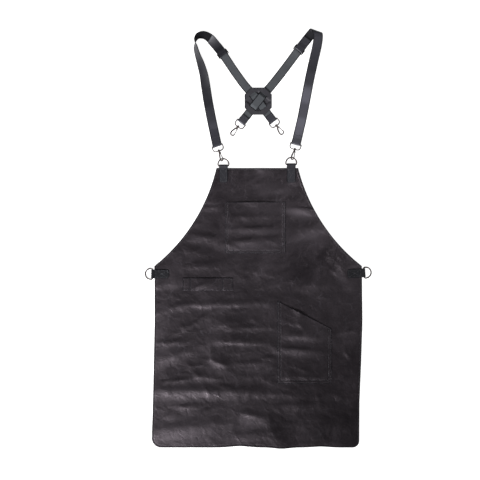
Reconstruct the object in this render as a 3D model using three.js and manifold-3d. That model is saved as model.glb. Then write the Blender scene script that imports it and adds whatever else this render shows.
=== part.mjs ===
// Leather work apron with a cross-back harness, laid flat with its front up.
// Millimetres, +Z up, +Y towards the bib. The origin is under the middle of its box.
import * as THREE from 'three';
import { mergeVertices } from 'three/addons/utils/BufferGeometryUtils.js';
import Module from 'manifold-3d';

const wasm = await Module();
wasm.setup();

const degree = Math.PI / 180;

// Leather thicknesses, and the gap between layers that lie face to face
const panelThick = 2;
const pocketThick = 1.6;
const loopThick = 2;
const tabThick = 1.6;
const shoulderThick = 2.2;
const backThick = 2;
const patchThick = 2;
const layGap = 0.4;
const wrapGap = 0.3;

// Apron panel: straight bib top, hollow armholes, rounded hem corners
const bibTopY = 203.5;
const bibTop = { left: -122, right: 114 };
const waistY = -79;
const hemY = -603;
const armholeHollow = 28;
const hemCorner = { left: 28, right: 19 };
const skirtSides = [
  { y: -79, left: -300.5, right: 297.5 },
  { y: -235, left: -300, right: 299.5 },
  { y: -350, left: -302.5, right: 296 },
  { y: -466, left: -305, right: 291 },
  { y: -603, left: -309, right: 290 },
];
const hemWaves = [
  { x: -54, lift: 4, reach: 35 },
  { x: 67, lift: -3.5, reach: 28 },
  { x: 180, lift: 2.5, reach: 30 },
];
const hemWaveFade = 70;
const panelColumns = 16;
const cornerRows = 5;
const skirtRows = 27;
const bibRows = 17;

// Main folds of the lying hide: centre, turn from the X axis, half length, half width, height
const folds = [
  { x: 0, y: 66, turn: 0, length: 170, width: 24, lift: 2.4 },
  { x: 0, y: -2, turn: 4, length: 140, width: 24, lift: 2.6 },
  { x: -90, y: -66, turn: 3, length: 150, width: 26, lift: 2.6 },
  { x: 222, y: -112, turn: -42, length: 55, width: 24, lift: 4 },
  { x: -100, y: -196, turn: 0, length: 170, width: 26, lift: 2.8 },
  { x: 128, y: -322, turn: -4, length: 110, width: 26, lift: 2.6 },
  { x: -70, y: -312, turn: -3, length: 160, width: 26, lift: 2.6 },
  { x: -250, y: -345, turn: 20, length: 90, width: 24, lift: 4 },
  { x: -110, y: -388, turn: -26, length: 70, width: 24, lift: 3 },
  { x: -90, y: -446, turn: -2, length: 220, width: 26, lift: 3.6 },
  { x: 130, y: -482, turn: -3, length: 140, width: 26, lift: 2.8 },
  { x: -200, y: -545, turn: 4, length: 120, width: 26, lift: 3.6 },
  { x: -12, y: -560, turn: 75, length: 45, width: 24, lift: 3.4 },
];

// Folded tabs that carry the D-rings: edge point, outward turn, distance of the ring's bar
const tabWidth = 25.5;
const tabFrontLeg = 42;
const tabBackLeg = 30;
const tabs = [
  { name: 'top_tab_left', ring: 'top_ring_left', x: -101.7, y: bibTopY, turn: 0, reach: 6.2 },
  { name: 'top_tab_right', ring: 'top_ring_right', x: 93.9, y: bibTopY, turn: 0, reach: 9.7 },
  { name: 'side_tab_left', ring: 'side_ring_left', x: -300.4, y: -102, turn: 90, reach: 6 },
  { name: 'side_tab_right', ring: 'side_ring_right', x: 297.8, y: -99, turn: -86, reach: 6 },
];
const seatMargin = 30;
const seatFade = 50;

// D-ring: wire, half width and straight leg length at the wire's centre
const ringWire = 2;
const ringHalf = 15.6;
const ringLeg = 4.8;
const ringBend = 3;
const ringStep = 3.5;
const ringPitch = { top: 8.5, side: -5.2 };

// Pockets: outline on the panel, and how far the mouth stands open
const bibPocket = { left: -96.5, right: 77, bottom: -42.5, topLeft: 105, topRight: 105, gape: 6.6 };
const slantPocket = { left: 53.5, right: 210.5, bottom: -419, topLeft: -180, topRight: -260.5, gape: 9 };
const pocketColumns = 10;
const pocketRows = 12;

// Tool loop: a strap sewn down at both ends, slack between
const toolLoop = { left: -219.5, right: -74.5, y: -131.5, width: 36, sewnLeft: 23, sewnRight: 29, slack: 7 };
const toolLoopColumns = 20;
const toolLoopRows = 3;

// Crossing of the back straps, and the octagon patch around it
const crossing = { x: -1.4, y: 396 };
const patchSide = 78.5;
const patchCut = 20;
const slotHalf = 13.1;
const slotInner = 19;
const slotOuter = 27;
const slotRise = { from: 19.5, to: 24.5 };
const slotEnd = 32;
const slotSteps = 26;
const patchCells = 18;

// Back straps: heading off the Y axis, way up to the slider, way down to the hook's bar, sideways bow above the patch
const backWidth = 24.8;
const backStraps = [
  { name: 'back_strap_left', slider: 'slider_left', side: -1, heading: 36.8, up: 170, down: 71, over: 0, bow: -3.7 },
  { name: 'back_strap_right', slider: 'slider_right', side: 1, heading: 38.4, up: 189, down: 77, over: 1, bow: 2.2 },
];
const backFlap = 20;
const bowLean = 0.6;
const bowRun = { from: 12, to: 8, steps: 8 };

// Shoulder straps: centre line, direction of the upper edge (turn, rise) and extra height
const shoulderWidth = 27.2;
const shoulderFlap = 30;
const leftShoulder = [
  { x: -135.5, y: 342, turn: 12, rise: 0, lift: 0 },
  { x: -146, y: 397, turn: 10, rise: 0, lift: 0 },
  { x: -152, y: 435, turn: 9, rise: 8, lift: 0 },
  { x: -158, y: 472, turn: 12, rise: 26, lift: 0 },
  { x: -166.8, y: 503, turn: 15, rise: 40, lift: 0 },
  { x: -175.8, y: 529, turn: 14, rise: 57, lift: 0 },
  { x: -181.6, y: 551, turn: 10, rise: 66, lift: 0 },
  { x: -183, y: 569, turn: 150, rise: 82, lift: 0 },
  { x: -175.5, y: 582, turn: 128, rise: 64, lift: 0 },
  { x: -158.5, y: 585.2, turn: 95, rise: 45, lift: 0 },
  { x: -141, y: 577, turn: 58, rise: 28, lift: 0 },
  { x: -127, y: 562, turn: 42, rise: 12, lift: 0 },
  { x: -116, y: 549, turn: 37, rise: 0, lift: 0 },
];
const rightShoulder = [
  { x: 124, y: 342, turn: -13, rise: 0, lift: 0 },
  { x: 135.5, y: 400, turn: -11, rise: 0, lift: 0 },
  { x: 146.5, y: 458, turn: -12, rise: 0, lift: 1 },
  { x: 159, y: 515, turn: -12, rise: 0, lift: 5 },
  { x: 168, y: 556, turn: -9, rise: 0, lift: 11 },
  { x: 170.8, y: 580, turn: -9, rise: 0, lift: 14 },
  { x: 168.8, y: 592.5, turn: -14, rise: 0, lift: 13 },
  { x: 166, y: 598, turn: -20, rise: 0, lift: 9 },
  { x: 160, y: 597, turn: -26, rise: 0, lift: 4 },
  { x: 150.5, y: 588, turn: -32, rise: 0, lift: 0.8 },
  { x: 138, y: 572.5, turn: -37, rise: 0, lift: 0 },
];
const shoulderStraps = [
  { name: 'shoulder_strap_left', tab: 0, back: 0, hookTurn: -18.5, rows: leftShoulder, tail: 58 },
  { name: 'shoulder_strap_right', tab: 1, back: 1, hookTurn: 14, rows: rightShoulder, tail: 42 },
];
const shoulderSteps = 44;
const surface = new THREE.Vector3(-Infinity, -Infinity, 0);
const steepestSlant = 0.86;

// Three-bar slider, a flat stamped frame
const sliderThick = 2;
const sliderBar = 2.6;
const sliderInside = 28.4;
const sliderLength = { upper: 8, lower: 9 };
const sliderCorner = 2;

// Swivel snap hook, along its axis from the strap bar: loop, boss, collar, bow and gate
const loopWire = 1.6;
const loopBarHalf = { front: 15.6, back: 14.6 };
const loopFarHalf = 6;
const loopShoulder = 7;
const loopDepth = 17;
const loopBend = 2.2;
const bossRadius = 3;
const bossLength = 5;
const boreRadius = 1.6;
const postRadius = 1.3;
const postHead = { radius: 2.4, from: 13, to: 14.2 };
const collar = { radius: 2.8, from: 19.8, to: 22.2 };
const bowWire = 1.9;
const bow = [
  { x: 0, y: 21 },
  { x: 3.9, y: 26.5 },
  { x: 5.6, y: 33 },
  { x: 5.8, y: 40 },
  { x: 4.5, y: 45 },
  { x: 0, y: 47.3 },
  { x: -4.5, y: 45 },
  { x: -5.7, y: 41.5 },
  { x: -5.6, y: 38.7 },
];
const bowSteps = 18;
const gatePivot = { x: -3, y: 24.6 };
const gateEnd = { x: -5.5, y: 38.2 };
const gateWire = 1.2;
const gateEye = 2;
const gateEyeHeight = 2.4;
const pinRadius = 0.8;
const pinHole = 1.1;
const cheekThick = 1;
const cheekRoot = 1;
const hookReach = 41.8;
const hookTilt = { front: 51, back: 0 };
const hookPitch = { front: 3.7, back: -2.3 };

// Roundness of wires, turned pieces and strap folds
const wireSides = 8;
const turnedSides = 12;
const foldSteps = 10;

// Strap end folded on itself: how the doubled layer leaves the bar and lies down past the flap's end
const layDown = { leave: 7, sag: 0.9, settle: 16, rise: 0.5 };
const flapEnd = { cover: 3, ramp: 18 };

// Hairpin over the slider's middle bar, and the tail that lies back along the strap
const hairpin = { joins: 4, crest: 0.5, overBar: 8, settle: 14, rise: 1.6, tailFrom: 22 };

// Bar heights above the surface that the apron lies on
const seatHeight = tabThick + layGap;
const tabFold = ringWire + wrapGap + tabThick / 2;
const tabBarZ = tabFold + tabThick / 2;
const shoulderFold = loopWire + wrapGap + shoulderThick / 2;
const backFold = loopWire + wrapGap + backThick / 2;
const sliderHalfDiagonal = Math.hypot(sliderThick, sliderBar) / 2;
const sliderFold = sliderHalfDiagonal + wrapGap + shoulderThick / 2;
const sliderBackFold = sliderHalfDiagonal + wrapGap + backThick / 2;
const sliderZ = shoulderThick / 2 + sliderFold;

const finishes = {
  hide: { color: 0x363337, roughness: 0.5, metalness: 0 },
  strap: { color: 0x383a40, roughness: 0.5, metalness: 0 },
  suede: { color: 0x585d62, roughness: 0.85, metalness: 0 },
  nickel: { color: 0x968a82, roughness: 0.3, metalness: 1 },
};

// Geometry helpers

function closedGeometry(positions, triangles) {
  const geometry = new THREE.BufferGeometry();
  geometry.setAttribute('position', new THREE.Float32BufferAttribute(positions, 3));
  const corner = (index) => new THREE.Vector3().fromArray(positions, index * 3);
  let volume = 0;
  for (let i = 0; i < triangles.length; i += 3) {
    const a = corner(triangles[i]);
    volume += a.dot(corner(triangles[i + 1]).cross(corner(triangles[i + 2])));
  }
  geometry.setIndex(volume < 0 ? triangles.reverse() : triangles);
  geometry.computeVertexNormals();
  return geometry;
}

// Skin over equal sections, each a loop of points, with flat ends unless the row of sections closes
function loft(sections, closed) {
  const size = sections[0].length;
  const positions = sections.flat().flatMap((point) => point.toArray());
  const triangles = [];
  const spans = closed ? sections.length : sections.length - 1;
  for (let i = 0; i < spans; i += 1) {
    const near = i * size;
    const far = ((i + 1) % sections.length) * size;
    for (let k = 0; k < size; k += 1) {
      const next = (k + 1) % size;
      triangles.push(near + k, near + next, far + next);
      triangles.push(near + k, far + next, far + k);
    }
  }
  const last = (sections.length - 1) * size;
  for (let k = 1; k < size - 1 && !closed; k += 1) {
    triangles.push(0, k + 1, k);
    triangles.push(last, last + k, last + k + 1);
  }
  return closedGeometry(positions, triangles);
}

// Wall of even thickness over a grid of middle points
function sheet(columns, rows, place, thick) {
  const positions = [];
  for (const side of [1, -1]) {
    for (const v of rows) {
      for (const u of columns) {
        const point = place(u, v);
        positions.push(point.x, point.y, point.z + (side * thick) / 2);
      }
    }
  }
  const width = columns.length;
  const height = rows.length;
  const under = width * height;
  const triangles = [];
  const quad = (a, b, c, d) => triangles.push(a, b, c, a, c, d);
  for (let j = 0; j < height - 1; j += 1) {
    for (let i = 0; i < width - 1; i += 1) {
      const a = j * width + i;
      quad(a, a + 1, a + width + 1, a + width);
      quad(under + a + width, under + a + width + 1, under + a + 1, under + a);
    }
  }
  for (let i = 0; i < width - 1; i += 1) {
    const top = (height - 1) * width + i;
    quad(under + i, under + i + 1, i + 1, i);
    quad(top, top + 1, under + top + 1, under + top);
  }
  for (let j = 0; j < height - 1; j += 1) {
    const left = j * width;
    const right = left + width - 1;
    quad(under + left + width, under + left, left, left + width);
    quad(right + width, right, under + right, under + right + width);
  }
  return closedGeometry(positions, triangles);
}

// Half width and half thickness of a strap at one of its stations
function strapSection(stations, i, width, thick) {
  const before = stations[Math.max(i - 1, 0)].point;
  const after = stations[Math.min(i + 1, stations.length - 1)].point;
  const along = after.clone().sub(before).normalize();
  const { across } = stations[i];
  const slant = Math.max(Math.sqrt(1 - across.dot(along) ** 2), steepestSlant);
  const half = across.clone().multiplyScalar(width / 2 / slant);
  const face = across.clone().cross(along).normalize().multiplyScalar(thick / 2);
  return { half, face };
}

// Flat strap through stations, each a middle point and the direction of one edge
function ribbon(stations, width, thick) {
  const sections = stations.map(({ point }, i) => {
    const { half, face } = strapSection(stations, i, width, thick);
    return [[1, 1], [-1, 1], [-1, -1], [1, -1]].map(([edge, side]) => point.clone()
      .addScaledVector(half, edge)
      .addScaledVector(face, side));
  });
  return loft(sections, false);
}

// Stations raised so that the strap's lowest edge lies on the surface, plus their own lift
function laid(stations, width, thick) {
  let rested = stations;
  for (let pass = 0; pass < 3; pass += 1) {
    rested = rested.map(({ point, across }, i) => {
      const { half, face } = strapSection(rested, i, width, thick);
      const height = stations[i].point.z + Math.abs(half.z) + Math.abs(face.z);
      return { point: point.clone().setZ(height), across };
    });
  }
  return rested;
}

// Round wire along a flat path
function wire(path, radius, closed) {
  const count = path.length;
  const sections = path.map((point, i) => {
    const before = path[closed ? (i + count - 1) % count : Math.max(i - 1, 0)];
    const after = path[closed ? (i + 1) % count : Math.min(i + 1, count - 1)];
    const along = new THREE.Vector2(after.x - before.x, after.y - before.y).normalize();
    return Array.from({ length: wireSides }, (_, k) => {
      const angle = ((k + 0.5) / wireSides) * 2 * Math.PI;
      const out = Math.cos(angle) * radius;
      return new THREE.Vector3(point.x - along.y * out, point.y + along.x * out, Math.sin(angle) * radius);
    });
  });
  return loft(sections, closed);
}

function weld(geometry) {
  const bare = geometry.clone();
  bare.deleteAttribute('normal');
  bare.deleteAttribute('uv');
  const merged = mergeVertices(bare);
  const index = merged.getIndex().array;
  const kept = [];
  for (let i = 0; i < index.length; i += 3) {
    const [a, b, c] = index.slice(i, i + 3);
    if (a !== b && b !== c && c !== a) {
      kept.push(a, b, c);
    }
  }
  return {
    vertProperties: new Float32Array(merged.getAttribute('position').array),
    triVerts: new Uint32Array(kept),
  };
}

function solid(geometry) {
  return new wasm.Manifold(new wasm.Mesh({ numProp: 3, ...weld(geometry) }));
}

function shell(body) {
  const mesh = body.getMesh();
  return closedGeometry(Array.from(mesh.vertProperties), Array.from(mesh.triVerts));
}

// Points along a closed outline, with curves cut into short steps
function outlinePoints(path, spacing) {
  return path.curves.filter((curve) => curve.getLength() > 0.01).flatMap((curve) => {
    const count = curve.isLineCurve ? 1 : Math.max(3, Math.round(curve.getLength() / spacing));
    return Array.from({ length: count }, (_, i) => curve.getPoint((i + 1) / count));
  });
}

function steps(from, to, count) {
  return Array.from({ length: count + 1 }, (_, i) => from + ((to - from) * i) / count);
}

function smooth(value) {
  const t = THREE.MathUtils.clamp(value, 0, 1);
  return t * t * (3 - 2 * t);
}

function mesh(name, geometry, finish) {
  const piece = new THREE.Mesh(geometry, new THREE.MeshStandardMaterial(finishes[finish]));
  piece.name = name;
  return piece;
}

// Outline of the panel

function skirtEdge(y, side) {
  const upper = Math.max(skirtSides.findIndex((row) => row.y <= y), 1);
  const [a, b] = [skirtSides[upper - 1], skirtSides[upper]];
  const edge = THREE.MathUtils.mapLinear(y, a.y, b.y, a[side], b[side]);
  const radius = hemCorner[side];
  const drop = Math.max(hemY + radius - y, 0);
  const inset = radius - Math.sqrt(radius ** 2 - drop ** 2);
  return side === 'left' ? edge + inset : edge - inset;
}

function armholeEdge(y, side) {
  const sign = side === 'left' ? -1 : 1;
  const waist = new THREE.Vector2(skirtSides[0][side], waistY);
  const top = new THREE.Vector2(bibTop[side], bibTopY);
  const chord = top.clone().sub(waist);
  const radius = (chord.lengthSq() / 4 + armholeHollow ** 2) / (2 * armholeHollow);
  const outward = new THREE.Vector2(Math.abs(chord.y) * sign, Math.abs(chord.x)).normalize();
  const centre = waist.clone().add(top).multiplyScalar(0.5).addScaledVector(outward, radius - armholeHollow);
  return centre.x - sign * Math.sqrt(radius ** 2 - (y - centre.y) ** 2);
}

function panelEdge(y, side) {
  return y >= waistY ? armholeEdge(y, side) : skirtEdge(y, side);
}

// Height of the hide's underside: folds, flattened where a tab is sewn over the edge

function seatWeight(tab, x, y) {
  const local = new THREE.Vector2(x - tab.x, y - tab.y).rotateAround(new THREE.Vector2(), -tab.turn * degree);
  const beside = Math.abs(local.x) - tabWidth / 2 - seatMargin;
  const behind = -local.y - tabFrontLeg - seatMargin;
  return 1 - smooth(Math.max(beside, behind) / seatFade);
}

function drape(x, y) {
  let height = 0;
  for (const fold of folds) {
    const cos = Math.cos(fold.turn * degree);
    const sin = Math.sin(fold.turn * degree);
    const along = ((x - fold.x) * cos + (y - fold.y) * sin) / fold.length;
    const across = ((y - fold.y) * cos - (x - fold.x) * sin) / fold.width;
    height += fold.lift * Math.exp(-(along ** 2) - across ** 2);
  }
  for (const tab of tabs) {
    height = THREE.MathUtils.lerp(height, seatHeight, seatWeight(tab, x, y));
  }
  return height;
}

function makePanel() {
  const cornerTop = hemY + hemCorner.left;
  const drops = steps(0, 90, cornerRows).map((angle) => hemCorner.left * Math.cos(angle * degree));
  const corner = drops.map((drop) => cornerTop - drop);
  const skirt = steps(cornerTop, waistY, skirtRows).slice(1);
  const bib = steps(waistY, bibTopY, bibRows).slice(1);
  const place = (u, v) => {
    const x = THREE.MathUtils.lerp(panelEdge(v, 'left'), panelEdge(v, 'right'), u);
    const near = 1 - smooth((v - hemY) / hemWaveFade);
    const waves = hemWaves.map((row) => row.lift * Math.exp(-(((x - row.x) / row.reach) ** 2)));
    const y = v + near * waves.reduce((sum, wave) => sum + wave, 0);
    return new THREE.Vector3(x, y, drape(x, y) + panelThick / 2);
  };
  const wall = sheet(steps(0, 1, panelColumns), [...corner, ...skirt, ...bib], place, panelThick);
  return mesh('apron_panel', wall, 'hide');
}

// Patch pockets, sewn on three sides, with the mouth standing a little open

function makePocket(name, pocket) {
  const place = (u, v) => {
    const x = THREE.MathUtils.lerp(pocket.left, pocket.right, u);
    const top = THREE.MathUtils.lerp(pocket.topLeft, pocket.topRight, u);
    const y = THREE.MathUtils.lerp(pocket.bottom, top, v);
    const bulge = pocket.gape * Math.sin(Math.PI * u) * Math.sin((Math.PI / 2) * v);
    return new THREE.Vector3(x, y, drape(x, y) + panelThick + layGap + pocketThick / 2 + bulge);
  };
  return mesh(name, sheet(steps(0, 1, pocketColumns), steps(0, 1, pocketRows), place, pocketThick), 'hide');
}

function makeToolLoop() {
  const place = (u, v) => {
    const x = THREE.MathUtils.lerp(toolLoop.left, toolLoop.right, u);
    const y = toolLoop.y + (v - 0.5) * toolLoop.width;
    const free = toolLoop.right - toolLoop.left - toolLoop.sewnLeft - toolLoop.sewnRight;
    const part = THREE.MathUtils.clamp((x - toolLoop.left - toolLoop.sewnLeft) / free, 0, 1);
    const arch = toolLoop.slack * Math.sin(Math.PI * part);
    return new THREE.Vector3(x, y, drape(x, y) + panelThick + layGap + loopThick / 2 + arch);
  };
  const wall = sheet(steps(0, 1, toolLoopColumns), steps(0, 1, toolLoopRows), place, loopThick);
  return mesh('tool_loop', wall, 'hide');
}

// Tabs and D-rings, in the tab's own frame with +Y outward

function makeTab(tab) {
  const frontZ = seatHeight + panelThick + layGap + tabThick / 2;
  const backZ = tabThick / 2;
  const profile = [
    { y: -tabFrontLeg, z: frontZ },
    { y: -tabThick, z: frontZ },
    { y: tab.reach / 2, z: (frontZ + tabBarZ + tabFold) / 2 },
    ...steps(90, -90, foldSteps).map((angle) => ({
      y: tab.reach + tabFold * Math.cos(angle * degree),
      z: tabBarZ + tabFold * Math.sin(angle * degree),
    })),
    { y: 0, z: backZ },
    { y: -tabBackLeg, z: backZ },
  ];
  const across = new THREE.Vector3(1, 0, 0);
  const stations = profile.map((row) => ({ point: new THREE.Vector3(0, row.y, row.z), across }));
  return mesh(tab.name, ribbon(stations, tabWidth, tabThick), 'strap');
}

function makeRing(tab) {
  const outline = new THREE.Path();
  outline.moveTo(-ringHalf + ringBend, 0);
  outline.lineTo(ringHalf - ringBend, 0);
  outline.absarc(ringHalf - ringBend, ringBend, ringBend, -Math.PI / 2, 0, false);
  outline.absarc(0, ringLeg, ringHalf, 0, Math.PI, false);
  outline.absarc(-ringHalf + ringBend, ringBend, ringBend, Math.PI, Math.PI * 1.5, false);
  const ring = mesh(tab.ring, wire(outlinePoints(outline, ringStep), ringWire, true), 'nickel');
  ring.position.set(0, tab.reach, tabBarZ);
  ring.rotation.x = (tab.turn === 0 ? ringPitch.top : ringPitch.side) * degree;
  return ring;
}

function makeTabGroup(tab) {
  const group = new THREE.Group();
  group.add(makeTab(tab), makeRing(tab));
  group.position.set(tab.x, tab.y, 0);
  group.rotation.z = tab.turn * degree;
  return group;
}

// Swivel snap hook, in its own frame: strap bar on X, axis along +Y

function makeSwivelLoop(name, barHalf) {
  const outline = new THREE.Path();
  outline.moveTo(-barHalf + loopBend, 0);
  outline.lineTo(barHalf - loopBend, 0);
  outline.quadraticCurveTo(barHalf, 0, barHalf, loopBend);
  outline.lineTo(barHalf, loopShoulder);
  outline.quadraticCurveTo(barHalf, loopDepth, loopFarHalf, loopDepth);
  outline.lineTo(-loopFarHalf, loopDepth);
  outline.quadraticCurveTo(-barHalf, loopDepth, -barHalf, loopShoulder);
  outline.lineTo(-barHalf, loopBend);
  outline.quadraticCurveTo(-barHalf, 0, -barHalf + loopBend, 0);
  const boss = new THREE.CylinderGeometry(bossRadius, bossRadius, bossLength, turnedSides);
  const bore = new THREE.CylinderGeometry(boreRadius, boreRadius, bossLength * 2, turnedSides);
  const body = solid(wire(outlinePoints(outline, loopBend), loopWire, true))
    .add(solid(boss.translate(0, loopDepth, 0)))
    .subtract(solid(bore.translate(0, loopDepth, 0)));
  return mesh(name, shell(body), 'nickel');
}

function makeHook(name) {
  const profile = [
    new THREE.Vector2(0, postHead.from),
    new THREE.Vector2(postHead.radius, postHead.from),
    new THREE.Vector2(postHead.radius, postHead.to),
    new THREE.Vector2(postRadius, postHead.to),
    new THREE.Vector2(postRadius, collar.from),
    new THREE.Vector2(collar.radius, collar.from),
    new THREE.Vector2(collar.radius, collar.to),
    new THREE.Vector2(0, collar.to),
  ];
  const curve = new THREE.CatmullRomCurve3(bow.map((row) => new THREE.Vector3(row.x, row.y, 0)));
  const turned = new THREE.LatheGeometry(profile, turnedSides);
  let body = solid(turned).add(solid(wire(curve.getPoints(bowSteps), bowWire, false)));
  const cheekLevel = gateEyeHeight / 2 + wrapGap + cheekThick / 2;
  const cheekRun = Math.hypot(gatePivot.x, gatePivot.y - collar.to) + cheekRoot;
  const cheekTurn = Math.atan2(gatePivot.y - collar.to, gatePivot.x);
  const cheekShape = new THREE.Shape();
  cheekShape.moveTo(-cheekRun, gateEye);
  cheekShape.lineTo(-cheekRun, -gateEye);
  cheekShape.lineTo(0, -gateEye);
  cheekShape.absarc(0, 0, gateEye, -Math.PI / 2, Math.PI / 2, false);
  for (const level of [cheekLevel, -cheekLevel]) {
    const flat = { depth: cheekThick, bevelEnabled: false, curveSegments: turnedSides / 2 };
    const cheek = new THREE.ExtrudeGeometry(cheekShape, flat);
    cheek.translate(0, 0, -cheekThick / 2).rotateZ(cheekTurn).translate(gatePivot.x, gatePivot.y, level);
    body = body.add(solid(cheek));
  }
  const pin = new THREE.CylinderGeometry(pinRadius, pinRadius, 2 * cheekLevel, wireSides);
  body = body.add(solid(pin.rotateX(Math.PI / 2).translate(gatePivot.x, gatePivot.y, 0)));
  return mesh(name, shell(body), 'nickel');
}

function makeGate(name) {
  const arm = wire([gatePivot, gateEnd], gateWire, false);
  const eye = new THREE.CylinderGeometry(gateEye, gateEye, gateEyeHeight, turnedSides).rotateX(Math.PI / 2);
  const hole = new THREE.CylinderGeometry(pinHole, pinHole, 2 * gateEyeHeight, wireSides).rotateX(Math.PI / 2);
  eye.translate(gatePivot.x, gatePivot.y, 0);
  hole.translate(gatePivot.x, gatePivot.y, 0);
  return mesh(name, shell(solid(arm).add(solid(eye)).subtract(solid(hole))), 'nickel');
}

function makeHookGroup(place, bar, heading, kind) {
  const group = new THREE.Group();
  const swivel = new THREE.Group();
  swivel.add(makeHook(`snap_hook_${place}`), makeGate(`hook_gate_${place}`));
  swivel.rotation.y = hookTilt[kind] * degree;
  group.add(makeSwivelLoop(`swivel_loop_${place}`, loopBarHalf[kind]), swivel);
  group.position.copy(bar);
  group.rotation.set(hookPitch[kind] * degree, 0, heading, 'ZXY');
  return group;
}

// Stations of a strap end that turns round a bar: angle runs from one layer to the other
function turnRound(bar, ahead, across, radius, fromAngle, toAngle) {
  return steps(fromAngle, toAngle, foldSteps).map((angle) => ({
    point: bar.clone()
      .addScaledVector(ahead, radius * Math.cos(angle * degree))
      .add(new THREE.Vector3(0, 0, radius * Math.sin(angle * degree))),
    across,
  }));
}

function station(base, ahead, distance, height, across) {
  const point = base.clone().addScaledVector(ahead, distance).setZ(height);
  return { point, across };
}

// Stations of the doubled layer between the top of a bar's fold and the flap under it
function lyingDown(bar, ahead, across, top, doubled) {
  return [
    station(bar, ahead, layDown.leave, top - layDown.sag, across),
    station(bar, ahead, layDown.settle, doubled + layDown.rise, across),
  ];
}

// Back straps: direction, slider place and profile through the slots of the patch

function backLine(strap) {
  const heading = strap.heading * degree;
  const ahead = new THREE.Vector3(-strap.side * Math.sin(heading), -Math.cos(heading), 0);
  const across = new THREE.Vector3(-ahead.y, ahead.x, 0);
  const middle = new THREE.Vector3(crossing.x, crossing.y, 0);
  const slider = middle.clone().addScaledVector(ahead, -strap.up).setZ(sliderZ);
  const bar = middle.clone().addScaledVector(ahead, strap.down).setZ(backThick / 2 + backFold);
  return { ahead, across, middle, slider, bar };
}

function patchHeight(x, y) {
  const low = patchThick / 2;
  const high = backThick + layGap + patchThick / 2;
  const offset = new THREE.Vector3(x, y, 0);
  const distance = Math.max(...backStraps.map((strap) => Math.abs(offset.dot(backLine(strap).ahead))));
  const rise = smooth((distance - slotRise.from) / (slotRise.to - slotRise.from));
  return THREE.MathUtils.lerp(low, high, rise);
}

// The stations moved sideways by the strap's bow, which is fullest near the patch
function bowed(strap, stations) {
  const { ahead, across, middle } = backLine(strap);
  return stations.map(({ point, across: edge }) => {
    const distance = middle.clone().sub(point).setZ(0).dot(ahead);
    const along = THREE.MathUtils.clamp((distance - slotEnd) / (strap.up - slotEnd), 0, 1);
    const bow = strap.bow * Math.sin(Math.PI * along ** bowLean);
    return { point: point.clone().addScaledVector(across, bow), across: edge };
  });
}

function makeBackStrap(strap) {
  const { ahead, across, middle, slider, bar } = backLine(strap);
  const floor = backThick / 2;
  const onPatch = patchThick + layGap + backThick / 2;
  const summit = onPatch + strap.over * (backThick + layGap);
  const flat = strap.over ? (backWidth * 2) / 3 : slotInner;
  const lowerBar = slider.clone().addScaledVector(ahead, sliderLength.lower);
  const doubled = floor + backThick + layGap;
  const upper = [
    station(lowerBar, ahead, backFlap, floor, across),
    ...turnRound(lowerBar, ahead, across, sliderBackFold, 270, 90),
    ...lyingDown(lowerBar, ahead, across, sliderZ + sliderBackFold, doubled),
    station(lowerBar, ahead, backFlap + flapEnd.cover, doubled, across),
    station(lowerBar, ahead, backFlap + flapEnd.ramp, floor, across),
  ];
  const rampEnd = strap.up - sliderLength.lower - backFlap - flapEnd.ramp;
  const lying = steps(-rampEnd + bowRun.from, -slotEnd - bowRun.to, bowRun.steps)
    .map((distance) => station(middle, ahead, distance, floor, across));
  const through = steps(-slotEnd, slotEnd, slotSteps).map((distance) => {
    const fall = smooth((Math.abs(distance) - flat) / (slotOuter - flat));
    return station(middle, ahead, distance, THREE.MathUtils.lerp(summit, floor, fall), across);
  });
  const lower = [
    ...turnRound(bar, ahead, across, backFold, -90, 90),
    ...lyingDown(bar, ahead.clone().negate(), across, bar.z + backFold, doubled),
    station(bar, ahead, -backFlap, doubled, across),
  ];
  return mesh(strap.name, ribbon([...bowed(strap, [...upper, ...lying]), ...through, ...lower], backWidth, backThick), 'suede');
}

function makePatch() {
  const half = patchSide / 2;
  const place = (u, v) => {
    const [x, y] = [(u - 0.5) * patchSide, (v - 0.5) * patchSide];
    return new THREE.Vector3(x, y, patchHeight(x, y));
  };
  const cells = steps(0, 1, patchCells);
  let body = solid(sheet(cells, cells, place, patchThick));
  const outline = new THREE.Shape([
    new THREE.Vector2(-half + patchCut, -half - 1),
    new THREE.Vector2(half - patchCut, -half - 1),
    new THREE.Vector2(half + 1, -half + patchCut),
    new THREE.Vector2(half + 1, half - patchCut),
    new THREE.Vector2(half - patchCut, half + 1),
    new THREE.Vector2(-half + patchCut, half + 1),
    new THREE.Vector2(-half - 1, half - patchCut),
    new THREE.Vector2(-half - 1, -half + patchCut),
  ]);
  const tall = patchSide / 2;
  const prism = new THREE.ExtrudeGeometry(outline, { depth: tall, bevelEnabled: false });
  body = body.intersect(solid(prism.translate(0, 0, -tall / 2)));
  for (const strap of backStraps) {
    for (const end of [-1, 1]) {
      const slot = new THREE.BoxGeometry(2 * slotHalf, slotOuter - slotInner, tall);
      slot.translate(0, (end * (slotInner + slotOuter)) / 2, 0).rotateZ(-strap.side * strap.heading * degree);
      body = body.subtract(solid(slot));
    }
  }
  const patch = mesh('cross_patch', shell(body), 'hide');
  patch.position.set(crossing.x, crossing.y, 0);
  return patch;
}

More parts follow.
